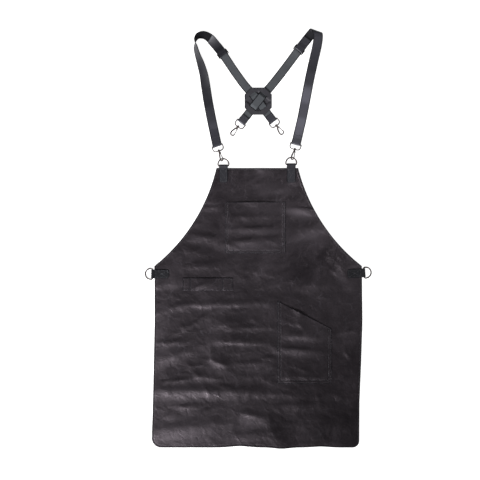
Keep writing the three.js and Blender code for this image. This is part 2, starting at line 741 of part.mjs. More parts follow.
function makeSlider(strap) {
  const halfWidth = sliderInside / 2 + sliderBar;
  const top = sliderLength.upper + sliderBar / 2;
  const bottom = -sliderLength.lower - sliderBar / 2;
  const plate = new THREE.Shape();
  plate.moveTo(-halfWidth + sliderCorner, bottom);
  plate.absarc(halfWidth - sliderCorner, bottom + sliderCorner, sliderCorner, -Math.PI / 2, 0, false);
  plate.absarc(halfWidth - sliderCorner, top - sliderCorner, sliderCorner, 0, Math.PI / 2, false);
  plate.absarc(-halfWidth + sliderCorner, top - sliderCorner, sliderCorner, Math.PI / 2, Math.PI, false);
  plate.absarc(-halfWidth + sliderCorner, bottom + sliderCorner, sliderCorner, Math.PI, Math.PI * 1.5, false);
  const windows = [[bottom + sliderBar, -sliderBar / 2], [sliderBar / 2, top - sliderBar]];
  for (const [low, high] of windows) {
    const inside = sliderInside / 2;
    plate.holes.push(new THREE.Path([
      new THREE.Vector2(-inside, low),
      new THREE.Vector2(inside, low),
      new THREE.Vector2(inside, high),
      new THREE.Vector2(-inside, high),
    ]));
  }
  const flat = { depth: sliderThick, bevelEnabled: false, curveSegments: wireSides / 2 };
  const frame = new THREE.ExtrudeGeometry(plate, flat).translate(0, 0, -sliderThick / 2);
  const slider = mesh(strap.slider, frame, 'nickel');
  const { ahead, slider: place } = backLine(strap);
  slider.position.copy(place);
  slider.rotation.z = Math.atan2(-ahead.y, -ahead.x) - Math.PI / 2;
  return slider;
}

// Shoulder straps: hook fold, shoulder bend, hairpin round the slider's middle bar, tail

function edgeDirection(row) {
  const level = Math.cos(row.rise * degree);
  const turn = row.turn * degree;
  return new THREE.Vector3(level * Math.cos(turn), level * Math.sin(turn), Math.sin(row.rise * degree));
}

function frontHook(strap) {
  const tab = tabs[strap.tab];
  const turn = strap.hookTurn * degree;
  const pitch = ringPitch.top * degree;
  const along = ringLeg + ringHalf * Math.cos(turn);
  const contact = new THREE.Vector3(
    tab.x + ringHalf * Math.sin(turn),
    tab.y + tab.reach + along * Math.cos(pitch),
    tabBarZ + along * Math.sin(pitch),
  );
  const ahead = new THREE.Vector3(-Math.sin(turn), -Math.cos(turn), 0);
  const reach = hookReach * Math.cos(hookPitch.front * degree);
  const bar = contact.clone().addScaledVector(ahead, -reach).setZ(shoulderThick / 2 + shoulderFold);
  return { bar, ahead, heading: Math.atan2(ahead.y, ahead.x) - Math.PI / 2 };
}

function makeShoulderStrap(strap) {
  const { bar, ahead: down } = frontHook(strap);
  const { ahead, across: sideways, slider } = backLine(backStraps[strap.back]);
  const floor = shoulderThick / 2;
  const doubled = floor + shoulderThick + layGap;
  const edge = new THREE.Vector3(-down.y, down.x, 0);
  const lead = new THREE.Vector3(strap.rows[0].x - bar.x, strap.rows[0].y - bar.y, 0).normalize();
  const leadEdge = new THREE.Vector3(lead.y, -lead.x, 0);
  const start = [
    station(bar, lead, shoulderFlap, floor, leadEdge),
    ...turnRound(bar, down, edge, shoulderFold, -90, 90),
    ...lyingDown(bar, lead, leadEdge, bar.z + shoulderFold, doubled),
    station(bar, lead, shoulderFlap + flapEnd.cover, doubled, leadEdge),
    station(bar, lead, shoulderFlap + flapEnd.ramp, floor, leadEdge),
  ];
  const rows = strap.rows.map((row) => ({
    point: new THREE.Vector3(row.x, row.y, row.lift),
    across: edgeDirection(row),
  }));
  const run = [
    station(bar, lead, shoulderFlap + flapEnd.ramp, 0, leadEdge),
    ...rows,
    station(slider, ahead, -hairpin.joins, 0, sideways),
  ];
  const centres = new THREE.CatmullRomCurve3(run.map((row) => row.point));
  const edges = new THREE.CatmullRomCurve3(run.map((row) => row.across));
  const path = steps(0, 1, shoulderSteps).slice(1).map((t) => ({
    point: centres.getPoint(t).max(surface),
    across: edges.getPoint(t).normalize(),
  }));
  const flow = laid(path, shoulderWidth, shoulderThick);
  const overBar = slider.z + sliderFold;
  const fold = [
    ...turnRound(slider, ahead, sideways, sliderFold, -90, 90),
    station(slider, ahead, -hairpin.joins, overBar - hairpin.crest, sideways),
    station(slider, ahead, -hairpin.overBar, overBar, sideways),
    station(slider, ahead, -hairpin.settle, doubled + hairpin.rise, sideways),
  ];
  const tail = [];
  for (let i = flow.length - 2; i > 0; i -= 1) {
    const along = flow[i + 1].point.clone().sub(flow[i - 1].point).normalize();
    const face = flow[i].across.clone().cross(along).normalize();
    const distance = flow[i].point.distanceTo(slider);
    if (distance > hairpin.tailFrom && distance < strap.tail) {
      const point = flow[i].point.clone().addScaledVector(face, -shoulderThick - layGap);
      tail.push({ point, across: flow[i].across });
    }
    if (distance >= strap.tail) {
      break;
    }
  }
  const stations = [...start, ...flow, ...fold, ...tail];
  return mesh(strap.name, ribbon(stations, shoulderWidth, shoulderThick), 'strap');
}

// Assembly

const apron = new THREE.Group();
apron.add(makePanel());
apron.add(makePocket('bib_pocket', bibPocket));
apron.add(makePocket('slant_pocket', slantPocket));
apron.add(makeToolLoop());
for (const tab of tabs) {
  apron.add(makeTabGroup(tab));
}
apron.add(makePatch());
for (const strap of backStraps) {
  const { bar, ahead } = backLine(strap);
  const place = strap.side > 0 ? 'back_left' : 'back_right';
  apron.add(makeBackStrap(strap));
  apron.add(makeSlider(strap));
  apron.add(makeHookGroup(place, bar, Math.atan2(ahead.y, ahead.x) - Math.PI / 2, 'back'));
}
for (const strap of shoulderStraps) {
  const { bar, heading } = frontHook(strap);
  const place = strap.tab === 0 ? 'front_left' : 'front_right';
  apron.add(makeShoulderStrap(strap));
  apron.add(makeHookGroup(place, bar, heading, 'front'));
}

// The lying apron's box, with its bottom middle at the origin
const box = new THREE.Box3().setFromObject(apron, true);
const middle = box.getCenter(new THREE.Vector3());
apron.position.set(-middle.x, -middle.y, -box.min.z);

export default apron;
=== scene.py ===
import math
from types import SimpleNamespace

import bpy
import numpy as np
from mathutils import Matrix, Vector


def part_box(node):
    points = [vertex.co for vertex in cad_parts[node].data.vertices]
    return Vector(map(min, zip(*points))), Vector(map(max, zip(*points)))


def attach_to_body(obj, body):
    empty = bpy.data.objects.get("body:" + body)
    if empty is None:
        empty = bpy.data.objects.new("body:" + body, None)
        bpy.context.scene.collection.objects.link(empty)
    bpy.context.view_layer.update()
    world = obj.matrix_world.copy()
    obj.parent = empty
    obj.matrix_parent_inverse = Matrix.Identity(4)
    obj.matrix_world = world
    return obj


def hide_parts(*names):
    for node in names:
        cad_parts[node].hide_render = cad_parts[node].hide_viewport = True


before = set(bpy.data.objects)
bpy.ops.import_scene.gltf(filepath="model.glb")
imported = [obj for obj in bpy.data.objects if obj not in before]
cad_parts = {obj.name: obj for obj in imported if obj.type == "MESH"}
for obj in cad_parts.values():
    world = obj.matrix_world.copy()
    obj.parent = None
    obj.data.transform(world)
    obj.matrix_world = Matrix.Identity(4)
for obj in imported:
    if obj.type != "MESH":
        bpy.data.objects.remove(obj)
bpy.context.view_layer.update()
scene = bpy.context.scene
print("frame loaded with", len(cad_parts), "nodes")

# The apron is drawn in millimetres on its cutting plan: bib up, hem down, surface at height 0
hide = {
    "thick": 2.0, "bibTop": 203.5, "bibLeft": -122.0, "bibRight": 114.0, "waist": -79.0, "hem": -603.0,
    "hollow": 28.0,        # how far the armholes are cut in from a straight line
    "cornerLeft": 28.0, "cornerRight": 19.0, "hemFade": 70.0, "seam": 5.0, "seamDepth": 0.45, "steepest": 2.0,
    "paint": 2.4, "cell": 3.45, "columns": 163, "foldGain": 1.22, "areaSteps": 400,
    "flat": (0.609, 0.8065),
}
crossing = {"x": -1.4, "y": 396.0}
layGap = 0.4              # between leathers that lie on each other
sewnGap = layGap / 2      # under leather that is sewn down
wrapGap = 0.3             # between leather and the bar it turns round

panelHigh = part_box("apron_panel")[1]
patchLow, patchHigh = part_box("cross_patch")
planShift = np.array([
    (patchLow.x + patchHigh.x) * 500 - crossing["x"], panelHigh.y * 1000 - hide["bibTop"], patchLow.z * 1000,
])


def toFrame(points):
    return (np.asarray(points, float) + planShift) / 1000


def smooth(value):
    t = np.clip(value, 0, 1)
    return t * t * (3 - 2 * t)


def mix(a, b, t):
    return a + (b - a) * t


def unit(vectors):
    return vectors / np.linalg.norm(vectors, axis=-1, keepdims=True)


def turned(x, y, turn):
    # distances along and across a line that is turned by so many degrees
    cos, sin = math.cos(math.radians(turn)), math.sin(math.radians(turn))
    return x * cos + y * sin, y * cos - x * sin


# Materials

def startMaterial(name):
    material = bpy.data.materials.new(name)
    material.use_nodes = True
    return material, material.node_tree, material.node_tree.nodes["Principled BSDF"]


def fill(tree, node, values):
    for key, value in values.items():
        if isinstance(value, bpy.types.NodeSocket):
            tree.links.new(value, node.inputs[key])
        else:
            node.inputs[key].default_value = value
    return node


def addNode(tree, kind, values=None, **settings):
    node = tree.nodes.new(kind)
    for key, value in settings.items():
        setattr(node, key, value)
    return fill(tree, node, values or {})


def objectPlace(tree):
    return addNode(tree, "ShaderNodeTexCoord").outputs["Object"]


def noise(tree, scale, detail, output="Fac", **more):
    values = {"Vector": objectPlace(tree), "Scale": scale, "Detail": detail, **more}
    return addNode(tree, "ShaderNodeTexNoise", values).outputs[output]


def attribute(tree, name):
    return addNode(tree, "ShaderNodeAttribute", attribute_name=name).outputs["Fac"]


def opaque(tone):
    return (*tone, 1) if isinstance(tone, tuple) else tone


def addRamp(tree, source, stops):
    ramp = addNode(tree, "ShaderNodeValToRGB", {"Fac": source})
    elements = ramp.color_ramp.elements
    elements[0].position, elements[1].position = stops[0][0], stops[-1][0]
    for place, _ in stops[1:-1]:
        elements.new(place)
    for element, (_, tone) in zip(elements, stops):
        element.color = opaque(tone if isinstance(tone, tuple) else (tone, tone, tone))
    return ramp.outputs["Color"]


def mixColour(tree, amount, a, b, blend="MIX"):
    node = addNode(tree, "ShaderNodeMix", data_type="RGBA", blend_type=blend)
    return fill(tree, node, {0: amount, 6: opaque(a), 7: opaque(b)}).outputs[2]


def bump(tree, strength, depth, height, under=None):
    values = {"Strength": strength, "Distance": depth, "Height": height}
    if under is not None:
        values["Normal"] = under
    return addNode(tree, "ShaderNodeBump", values).outputs[0]


# dark edge paint, which is also painted shade along the edges and rims of the leather
edgeShadeAndPaintTone = (0.006, 0.006, 0.008)
plainLeather = {
    "patchScale": 24.0, "scratchScale": 60.0, "scratch": 0.15, "scratchColour": (0.05, 0.05, 0.055),
    "grainScale": 900.0, "grain": 0.10, "wrinkleScale": 70.0, "wrinkle": 0.10, "tint": (0.98, 0.97, 1.0),
    "bloomed": (0.03, 0.03, 0.034), "bloomDull": 0.0, "patchStops": (0.30, 0.52, 0.74), "roughStops": (0.3, 0.7),
    "scratchBend": 0.05, "scratchWidth": 0.028, "scratchStops": (0.52, 0.70), "wrinkleDepth": 0.004,
    "grainDepth": 0.0006, "poreScale": 0.45, "poreGrain": 0.6,
}


def makeLeather(name, **own):
    look = {**plainLeather, **own}
    material, tree, shader = startMaterial(name)
    patches = noise(tree, look["patchScale"], detail=7.0, Roughness=0.72, Distortion=0.4)
    tones = (look["deep"], look["body"], look["rubbed"])
    colour = addRamp(tree, patches, list(zip(look["patchStops"], tones)))
    # fine scratches of the waxed surface, only in some places
    warp = noise(tree, scale=14.0, detail=3.0, output="Color")
    bent = addNode(tree, "ShaderNodeVectorMath", {0: warp, 1: (look["scratchBend"],) * 3, 2: objectPlace(tree)},
                   operation="MULTIPLY_ADD")
    cracks = addNode(tree, "ShaderNodeTexVoronoi", {"Vector": bent.outputs[0], "Scale": look["scratchScale"]},
                     feature="DISTANCE_TO_EDGE")
    scratch = addRamp(tree, cracks.outputs["Distance"], [(0.0, 1.0), (look["scratchWidth"], 0.0)])
    bare, scratched = look["scratchStops"]
    where = addRamp(tree, noise(tree, scale=21.0, detail=2.0), [(bare, 0.0), (scratched, look["scratch"])])
    colour = mixColour(tree, mixColour(tree, 1.0, scratch, where, "MULTIPLY"), colour, look["scratchColour"])
    bloom = attribute(tree, "waxAndPaintedSheen")      # above 0 paler, for rubbed wax and painted highlights; below 0 thick and shiny
    # the grain is painted paler where the rows put highlights and rubbed wax
    colour = mixColour(tree, bloom, colour, look["bloomed"])
    # the edges are painted dark: edge paint and painted shade
    colour = mixColour(tree, attribute(tree, "edgeShadeAndPaint"), colour, edgeShadeAndPaintTone)
    (low, high), (smoothest, roughest) = look["roughStops"], look["rough"]
    rough = addNode(tree, "ShaderNodeMapRange", {"Value": patches, "From Min": low, "From Max": high,
                                                 "To Min": smoothest, "To Max": roughest})
    dull = addNode(tree, "ShaderNodeMath", {0: bloom, 1: look["bloomDull"], 2: rough.outputs[0]},
                   operation="MULTIPLY_ADD")
    # slack wrinkles, then the pebbled grain and its pores
    wrinkles = noise(tree, look["wrinkleScale"], detail=2.5, Roughness=0.5, Distortion=0.5)
    pebbles = addNode(tree, "ShaderNodeTexVoronoi", {"Vector": objectPlace(tree), "Scale": look["grainScale"]},
                      feature="SMOOTH_F1").outputs["Distance"]
    pores = noise(tree, look["grainScale"] * look["poreScale"], detail=4.0)
    normal = bump(tree, look["wrinkle"], look["wrinkleDepth"], wrinkles)
    normal = bump(tree, look["grain"], look["grainDepth"], pebbles, normal)
    normal = bump(tree, look["grain"] * look["poreGrain"], look["grainDepth"], pores, normal)
    fill(tree, shader, {"Base Color": colour, "Roughness": dull.outputs[0], "Normal": normal,
                        "Specular IOR Level": look["gloss"], "Specular Tint": opaque(look["tint"])})
    return material


def makeSuede(name, deep, pale, nap):
    material, tree, shader = startMaterial(name)
    colour = addRamp(tree, noise(tree, scale=26.0, detail=5.0, Roughness=0.65), [(0.3, deep), (0.7, pale)])
    fibre = noise(tree, scale=1500.0, detail=3.0)
    colour = mixColour(tree, addRamp(tree, fibre, [(0.35, 0.0), (0.75, 0.35)]), colour, nap)
    # the edges are painted dark: edge paint and painted shade
    colour = mixColour(tree, attribute(tree, "edgeShadeAndPaint"), colour, edgeShadeAndPaintTone)
    fill(tree, shader, {"Base Color": colour, "Normal": bump(tree, strength=0.5, depth=0.0006, height=fibre),
                        "Roughness": 0.92, "Specular IOR Level": 0.2})
    return material


def makeMetal(name, dull, bright, grazing):
    material, tree, shader = startMaterial(name)
    tarnish = noise(tree, scale=160.0, detail=4.0)
    rough = addNode(tree, "ShaderNodeMapRange", {"Value": tarnish, "To Min": 0.52, "To Max": 0.66})
    rubs = noise(tree, scale=900.0, detail=2.0)
    fill(tree, shader, {
        "Base Color": addRamp(tree, tarnish, [(0.3, dull), (0.7, bright)]), "Roughness": rough.outputs[0],
        "Normal": bump(tree, strength=0.06, depth=0.0004, height=rubs), "Metallic": 1.0,
        "Specular Tint": opaque(grazing),    # keeps the wire's sides from mirroring the floor
    })
    return material


def makeThread(name, deep, pale):
    material, tree, shader = startMaterial(name)
    twist = noise(tree, scale=1800.0, detail=2.0)
    fill(tree, shader, {"Base Color": addRamp(tree, twist, [(0.35, deep), (0.7, pale)]),
                        "Normal": bump(tree, strength=0.4, depth=0.0003, height=twist), "Roughness": 0.55})
    return material


def makePaint(name, deep, pale):
    material, tree, shader = startMaterial(name)
    strokes = noise(tree, scale=320.0, detail=3.0)
    fill(tree, shader, {"Base Color": addRamp(tree, strokes, [(0.35, deep), (0.7, pale)]),
                        "Roughness": 0.8, "Specular IOR Level": 0.05})
    return material


# matte dark rims: edge paint, and painted shade where the rims would catch the light
rimShadeAndPaint = makePaint("rimShadeAndPaint", deep=(0.003, 0.003, 0.004), pale=(0.007, 0.007, 0.009))
panelLeather = makeLeather(
    "panelLeather", deep=(0.0045, 0.0036, 0.0045), body=(0.0080, 0.0065, 0.0079), rubbed=(0.019, 0.0158, 0.0188),
    patchScale=9.0, scratchScale=26.0, scratch=0.40, scratchColour=(0.05, 0.047, 0.056), rough=(0.34, 0.48),
    grainScale=760.0, grain=0.14, wrinkleScale=50.0, wrinkle=0.37, gloss=0.53, tint=(1.0, 0.868, 0.968),
    bloomed=(0.034, 0.0292, 0.034), bloomDull=0.10)
strapLeather = makeLeather(
    "strapLeather", deep=(0.0042, 0.0045, 0.0064), body=(0.0059, 0.0062, 0.0088), rubbed=(0.0092, 0.0096, 0.013),
    patchScale=18.0, scratch=0.25, scratchColour=(0.06, 0.063, 0.07), rough=(0.42, 0.52), grain=0.12,
    wrinkleScale=60.0, wrinkle=0.08, gloss=0.44, tint=(0.94, 0.93, 1.0), bloomed=(0.074, 0.073, 0.091))
tabLeather = makeLeather(
    "tabLeather", deep=(0.0038, 0.0038, 0.0048), body=(0.0055, 0.0055, 0.0070), rubbed=(0.008, 0.008, 0.010),
    patchScale=40.0, scratch=0.2, scratchColour=(0.05, 0.05, 0.058), rough=(0.40, 0.50), grain=0.12,
    wrinkleScale=90.0, wrinkle=0.12, gloss=0.30, tint=(0.95, 0.935, 1.0), bloomed=(0.030, 0.0295, 0.036))
liningLeather = makeLeather(
    "liningLeather", deep=(0.0075, 0.0078, 0.010), body=(0.0105, 0.0108, 0.0135), rubbed=(0.015, 0.0155, 0.0185),
    rough=(0.62, 0.72), gloss=0.12)
# a darker copy of the lining, painted shade on the left strap's inner face
shadedLining = makeLeather(
    "shadedLining", deep=(0.0022, 0.0023, 0.0030), body=(0.0032, 0.0034, 0.0044), rubbed=(0.005, 0.0053, 0.0065),
    scratchColour=(0.04, 0.04, 0.045), rough=(0.66, 0.76), gloss=0.06)
patchLeather = makeLeather(
    "patchLeather", deep=(0.0165, 0.016, 0.020), body=(0.0228, 0.0222, 0.0275), rubbed=(0.033, 0.0315, 0.036),
    patchScale=30.0, scratch=0.1, scratchColour=(0.06, 0.058, 0.062), rough=(0.60, 0.72), grain=0.2,
    wrinkleScale=80.0, wrinkle=0.12, gloss=0.35, tint=(1.0, 0.96, 0.98))
greySuede = makeSuede(
    "greySuede", deep=(0.045, 0.0485, 0.0545), pale=(0.061, 0.065, 0.0715), nap=(0.080, 0.085, 0.092))
darkSuede = makeSuede(
    "darkSuede", deep=(0.030, 0.031, 0.034), pale=(0.045, 0.046, 0.050), nap=(0.07, 0.072, 0.078))
nickel = makeMetal(
    "nickel", dull=(0.066, 0.056, 0.0545), bright=(0.117, 0.100, 0.098), grazing=(0.133, 0.117, 0.115))
# a darker copy of the nickel for the sliders, painted shade that keeps them from glinting
shadedNickel = makeMetal(
    "shadedNickel", dull=(0.022, 0.019, 0.017), bright=(0.046, 0.038, 0.033), grazing=(0.07, 0.06, 0.055))
seamThread = makeThread("seamThread", deep=(0.022, 0.022, 0.027), pale=(0.050, 0.050, 0.058))
# black thread for the tool loop, dark like the painted shade along its tack lines
threadForShadedTacks = makeThread("threadForShadedTacks", deep=(0.003, 0.003, 0.004), pale=(0.007, 0.007, 0.009))
panelSides = [panelLeather, darkSuede, rimShadeAndPaint]      # face, back, rim
print("materials ready")


# Meshes

sharpLeather, sharpPatch, sharpMetal = 50, 40, 38      # degrees from which an edge stays sharp
rim = {"reach": 14, "batch": 2000, "inside": 99.0}     # grid lines measured, points at a time, value further in


def addObject(name, data):
    thing = bpy.data.objects.new(name, data)
    scene.collection.objects.link(thing)
    return thing


def paint(mesh, name, values):
    layer = mesh.attributes.get(name) or mesh.attributes.new(name, "FLOAT", "POINT")
    layer.data.foreach_set("value", np.asarray(values, np.float32))


def outward(points, faces):
    volume = 0.0
    for face in faces:
        a = points[face[:, 0]]
        for k in range(1, face.shape[1] - 1):
            volume += np.einsum("ij,ij->", a, np.cross(points[face[:, k]], points[face[:, k + 1]]))
    return faces if volume > 0 else [face[:, ::-1] for face in faces]


def makePiece(name, points, faces, materials, slots=None, tint=None, sharp=sharpLeather):
    # faces is a list of index arrays, quads in one and end polygons in others
    points = np.asarray(points, float)
    faces = outward(points, faces)
    mesh = bpy.data.meshes.new(name)
    mesh.from_pydata(toFrame(points).tolist(), [], [f for face in faces for f in face.tolist()])
    for material in materials:
        mesh.materials.append(material)
    if slots is not None:
        mesh.polygons.foreach_set("material_index", np.asarray(slots, np.int32))
    if tint is not None:
        paint(mesh, "edgeShadeAndPaint", tint)
    mesh.shade_smooth()
    mesh.set_sharp_from_angle(angle=math.radians(sharp))
    mesh.update()
    return addObject(name, mesh)


def attach(piece, body, slot, *nodes):
    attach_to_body(piece, body)
    if nodes:
        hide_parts(*nodes)
    return piece


def edgeDistance(x, y):
    # distance of every grid point from the grid's own outline, worked out only near it
    outline = lambda g: np.concatenate([g[0, :-1], g[:-1, -1], g[-1, :0:-1], g[:0:-1, 0]])
    loop = np.stack([outline(x), outline(y)], 1)
    ahead = np.roll(loop, -1, 0) - loop
    length = np.maximum((ahead ** 2).sum(1), 1e-9)
    near = np.ones(x.shape, bool)
    near[rim["reach"]:-rim["reach"], rim["reach"]:-rim["reach"]] = False
    spots = np.stack([x[near], y[near]], 1)
    found = []
    for start in range(0, len(spots), rim["batch"]):
        away = spots[start:start + rim["batch"], None] - loop
        t = np.clip((away * ahead).sum(2) / length, 0, 1)
        found.append(np.sqrt(((away - t[..., None] * ahead) ** 2).sum(2)).min(1))
    distance = np.full(x.shape, rim["inside"])
    distance[near] = np.concatenate(found)
    distance[0], distance[-1], distance[:, 0], distance[:, -1] = 0, 0, 0, 0
    return distance


def makeSlab(name, x, y, under, thick, groove, materials, paintWidth, tackShade=0):
    # closed leather sheet over a grid, with rounded edges and sewn grooves in its face, with dark edge paint and
    # painted shade along its edges, and painted shade on the given lines
    rows, columns = x.shape
    distance = edgeDistance(x, y)
    half = thick / 2 * np.sqrt(1 - (1 - np.clip(distance / (thick / 2), 0, 1)) ** 2)
    middle = under + thick / 2
    face = np.stack([x, y, middle + half - groove * (distance > 0)], 2).reshape(-1, 3)
    back = np.stack([x, y, middle - half], 2).reshape(-1, 3)
    top = np.arange(rows * columns).reshape(rows, columns)
    inside = np.zeros((rows, columns), bool)
    inside[1:-1, 1:-1] = True
    low = top.copy()
    low[inside] = rows * columns + np.arange(inside.sum())
    corners = lambda g: np.stack([g[:-1, :-1], g[:-1, 1:], g[1:, 1:], g[1:, :-1]], 2).reshape(-1, 4)
    quads = np.concatenate([corners(top), corners(low)[:, ::-1]])
    # dark band along the edges, edge paint and painted shade, and painted shade on the given lines
    tint = np.maximum(1 - smooth((distance - paintWidth / 2) / (paintWidth / 2)), tackShade)
    onRim = ((distance[:-1, :-1] + distance[1:, 1:]) / 2 < thick / 4).reshape(-1)
    slots = np.concatenate([np.where(onRim, 2, 0), np.where(onRim, 2, 1)])
    points = np.concatenate([face, back[inside.reshape(-1)]])
    piece = makePiece(name, points, [quads], materials, slots, np.concatenate([tint.reshape(-1), tint[inside]]))
    paint(piece.data, "waxAndPaintedSheen", waxAndPaintedSheen(points[:, 0], points[:, 1]))
    return piece


# Folds of the lying hide: x, y, turn, half length, width of the lit side, width of the shaded side, height
foldRows = [
    (8, 201, -14, 26, 13, 20, 1.6), (20, 166, 0, 66, 24, 22, 1.8), (103, 157, -12, 15, 7, 7, 1.0),
    (-4, 110, 0, 72, 15, 9, 1.7), (-42, 150, 90, 32, 4, 4, 0.5), (-140, 106, 0, 44, 8, 12, 1.2),
    (-138, 90, 1, 48, 9, 6, 1.5), (122, 104, -2, 44, 8, 12, 1.4), (132, 84, -7, 44, 14, 7, 3.0),
    (-150, 5, -9, 55, 19, 8, 2.4), (160, 34, 8, 50, 19, 16, 2.2), (185, -128, 0, 95, 22, 58, 4.0),
    (-10, 63, 0, 78, 9, 8, 1.3), (-8, 30, 2, 80, 11, 7, 1.8), (-42, -6, 6, 62, 17, 8, 1.9),
    (48, -12, -20, 26, 9, 7, 1.2), (-175, -40, -6, 50, 18, 12, 1.5), (-160, -78, 5, 62, 14, 12, 2.0),
    (30, -78, 0, 80, 30, 22, 1.8), (-48, -112, -26, 22, 9, 8, 1.1), (228, -101, -42, 34, 10, 16, 3.4),
    (272, -76, 11, 24, 6, 8, 1.8), (-276, -108, -8, 44, 27, 10, 3.0), (-115, -190, 1, 132, 9, 12, 2.0),
    (-252, -203, 15, 50, 12, 10, 1.5), (-90, -243, 2, 26, 9, 16, 1.4), (-166, -229, 40, 8, 5, 5, 0.9),
    (-207, -258, 30, 46, 6, 8, 1.1), (-15, -257, 0, 60, 8, 8, 1.5), (-42, -299, -2, 86, 9, 15, 2.4),
    (-79, -276, 98, 26, 9, 9, 0.7), (-108, -357, 0, 22, 11, 12, 1.1), (-262, -300, 4, 36, 8, 8, 1.4),
    (-233, -334, 19, 78, 15, 14, 2.5), (-98, -371, -36, 32, 20, 14, 1.2), (-25, -360, 3, 50, 9, 8, 1.5),
    (30, -344, 0, 17, 8, 6, 1.5), (-140, -402, -8, 46, 8, 8, 1.3), (-226, -408, 6, 56, 8, 7, 1.3),
    (128, -282, -3, 58, 10, 14, 2.1), (112, -320, -5, 62, 14, 7, 2.6), (130, -398, 0, 76, 8, 20, 1.6),
    (275, -267, 5, 34, 8, 8, 1.7), (258, -335, -50, 15, 7, 10, 2.0), (-150, -440, 0, 166, 17, 14, 3.6),
    (60, -450, -3, 60, 10, 9, 1.4), (115, -481, 2, 78, 17, 11, 2.0), (-25, -507, -12, 36, 8, 12, 2.2),
    (-205, -485, 2, 30, 8, 8, 1.7), (-215, -547, 6, 104, 26, 18, 4.0), (-22, -514, -4, 46, 16, 12, 2.0),
    (-20, -566, 3, 64, 16, 11, 2.0), (-72, -536, 84, 26, 9, 10, 1.0), (42, -556, -62, 52, 20, 28, 2.6),
    (190, -540, 3, 70, 18, 22, 1.6), (225, -452, 6, 60, 14, 16, 1.4),
]
# Painted highlights and rubbed pale wax above 0, wax lying thick and shiny below 0: x, y, turn, half length, half
# width, amount
waxAndSheenRows = [
    (8, 187, 0, 24, 14, 0.35), (56, 136, 0, 36, 12, 0.30), (119, 74, -7, 44, 12, 1.0), (18, 19, 0, 58, 8, 0.40),
    (-36, -21, 4, 56, 12, 0.45), (-152, -13, -16, 60, 12, 0.30), (148, 8, 16, 56, 15, 0.80),
    (234, -110, -37, 26, 8, 1.0), (274, -84, 8, 24, 7, 0.50), (-256, -133, 0, 38, 15, 0.35),
    (165, -58, 20, 62, 44, -1.2), (-105, 70, 70, 80, 30, -0.8), (-215, -560, 4, 120, 46, 0.70),
    (-24, -530, 0, 40, 40, 0.5), (70, -540, 75, 60, 26, -0.4), (112, -330, -5, 58, 13, 0.45),
    (230, -480, 0, 80, 120, -0.25), (-200, -445, 0, 110, 18, 0.4), (-262, -335, 18, 60, 16, 0.35),
    (-95, -195, 0, 120, 14, 0.2), (120, -291, -3, 56, 9, 0.35), (130, -112, 0, 85, 40, -0.7),
    (96, 158.5, 8, 14, 2.8, 1.0), (-103, 158.5, 0, 13, 2.6, 0.5), (4, 195, -10, 10, 4.5, 1.0),
    (106, 153, 12, 9, 3.0, 0.7),
]
hemWaves = [(-54, 4.0, 35), (67, -3.5, 28), (180, 2.5, 30)]   # x, lift, reach
skirtSides = np.array([  # y, left edge, right edge
    (-603, -309, 290), (-466, -305, 291), (-350, -302.5, 296), (-235, -300, 299.5), (-79, -300.5, 297.5),
])
sideColumn = {-1: 1, 1: 2}

# Folded tabs and their rings: edge point, outward turn, distance of the ring's bar, the ring's pitch, how pale the
# grain is painted for wear and sheen
tabShape = {"width": 25.5, "thick": 1.6, "frontLeg": 42.0, "backLeg": 30.0, "corner": 6.0, "flatFrom": 12.0,
            "seatMargin": 4.0, "seatFade": 34.0, "endSteps": [0, 0.15, 0.5, 1.2, 2.2, 3.6, 6.0],
            "flatSteps": 6, "turnSteps": 17}
tabs = {
    "top_left": {"x": -101.7, "y": hide["bibTop"], "turn": 0.0, "reach": 6.2, "pitch": 8.5, "sheenAndWear": 0.42},
    "top_right": {"x": 93.9, "y": hide["bibTop"], "turn": 0.0, "reach": 9.7, "pitch": 8.5, "sheenAndWear": 0.48},
    "side_left": {"x": -300.4, "y": -102.0, "turn": 90.0, "reach": 6.0, "pitch": -5.2, "sheenAndWear": 0.0},
    "side_right": {"x": 297.8, "y": -99.0, "turn": -86.0, "reach": 6.0, "pitch": -5.2, "sheenAndWear": 0.0},
}
ringShape = {"wire": 2.0, "half": 15.6, "leg": 4.8, "bend": 3.0, "barSteps": 7, "bendSteps": 7, "arcSteps": 41}
seatHeight = tabShape["thick"] + layGap
tabFold = ringShape["wire"] + wrapGap + tabShape["thick"] / 2
tabBar = tabFold + tabShape["thick"] / 2
crumple = {"count": 300, "seed": 23, "acrossX": (-295, 285), "acrossY": (-595, 195), "turn": 28.0,
           "length": (10, 38), "width": (4.5, 9.5), "lift": (0.2, 0.75)}


def makeCrumples():
    # small slack wrinkles scattered between the main folds, mostly across the hide
    dice = np.random.default_rng(crumple["seed"])
    return [(
        dice.uniform(*crumple["acrossX"]), dice.uniform(*crumple["acrossY"]), dice.normal(0, crumple["turn"]),
        dice.uniform(*crumple["length"]), dice.uniform(*crumple["width"]), dice.uniform(*crumple["width"]),
        dice.uniform(*crumple["lift"]),
    ) for _ in range(crumple["count"])]


allFolds = foldRows + makeCrumples()


def drape(x, y):
    # height of the hide's underside
    height = np.zeros(np.shape(x))
    for foldX, foldY, turn, reach, lit, shaded, lift in allFolds:
        along, across = turned(x - foldX, y - foldY, turn)
        across = across / np.where(across < 0, lit, shaded)
        height = height + hide["foldGain"] * lift * np.exp(-(along / reach) ** 2 - across ** 2)
    for tab in tabs.values():
        side, out = turned(x - tab["x"], y - tab["y"], tab["turn"])
        away = np.maximum(np.abs(side) - tabShape["width"] / 2, -out - tabShape["frontLeg"])
        seat = 1 - smooth((away - tabShape["seatMargin"]) / tabShape["seatFade"])
        height = mix(height, seatHeight, seat)
    return height


def panelTop(x, y):
    return drape(x, y) + hide["thick"]


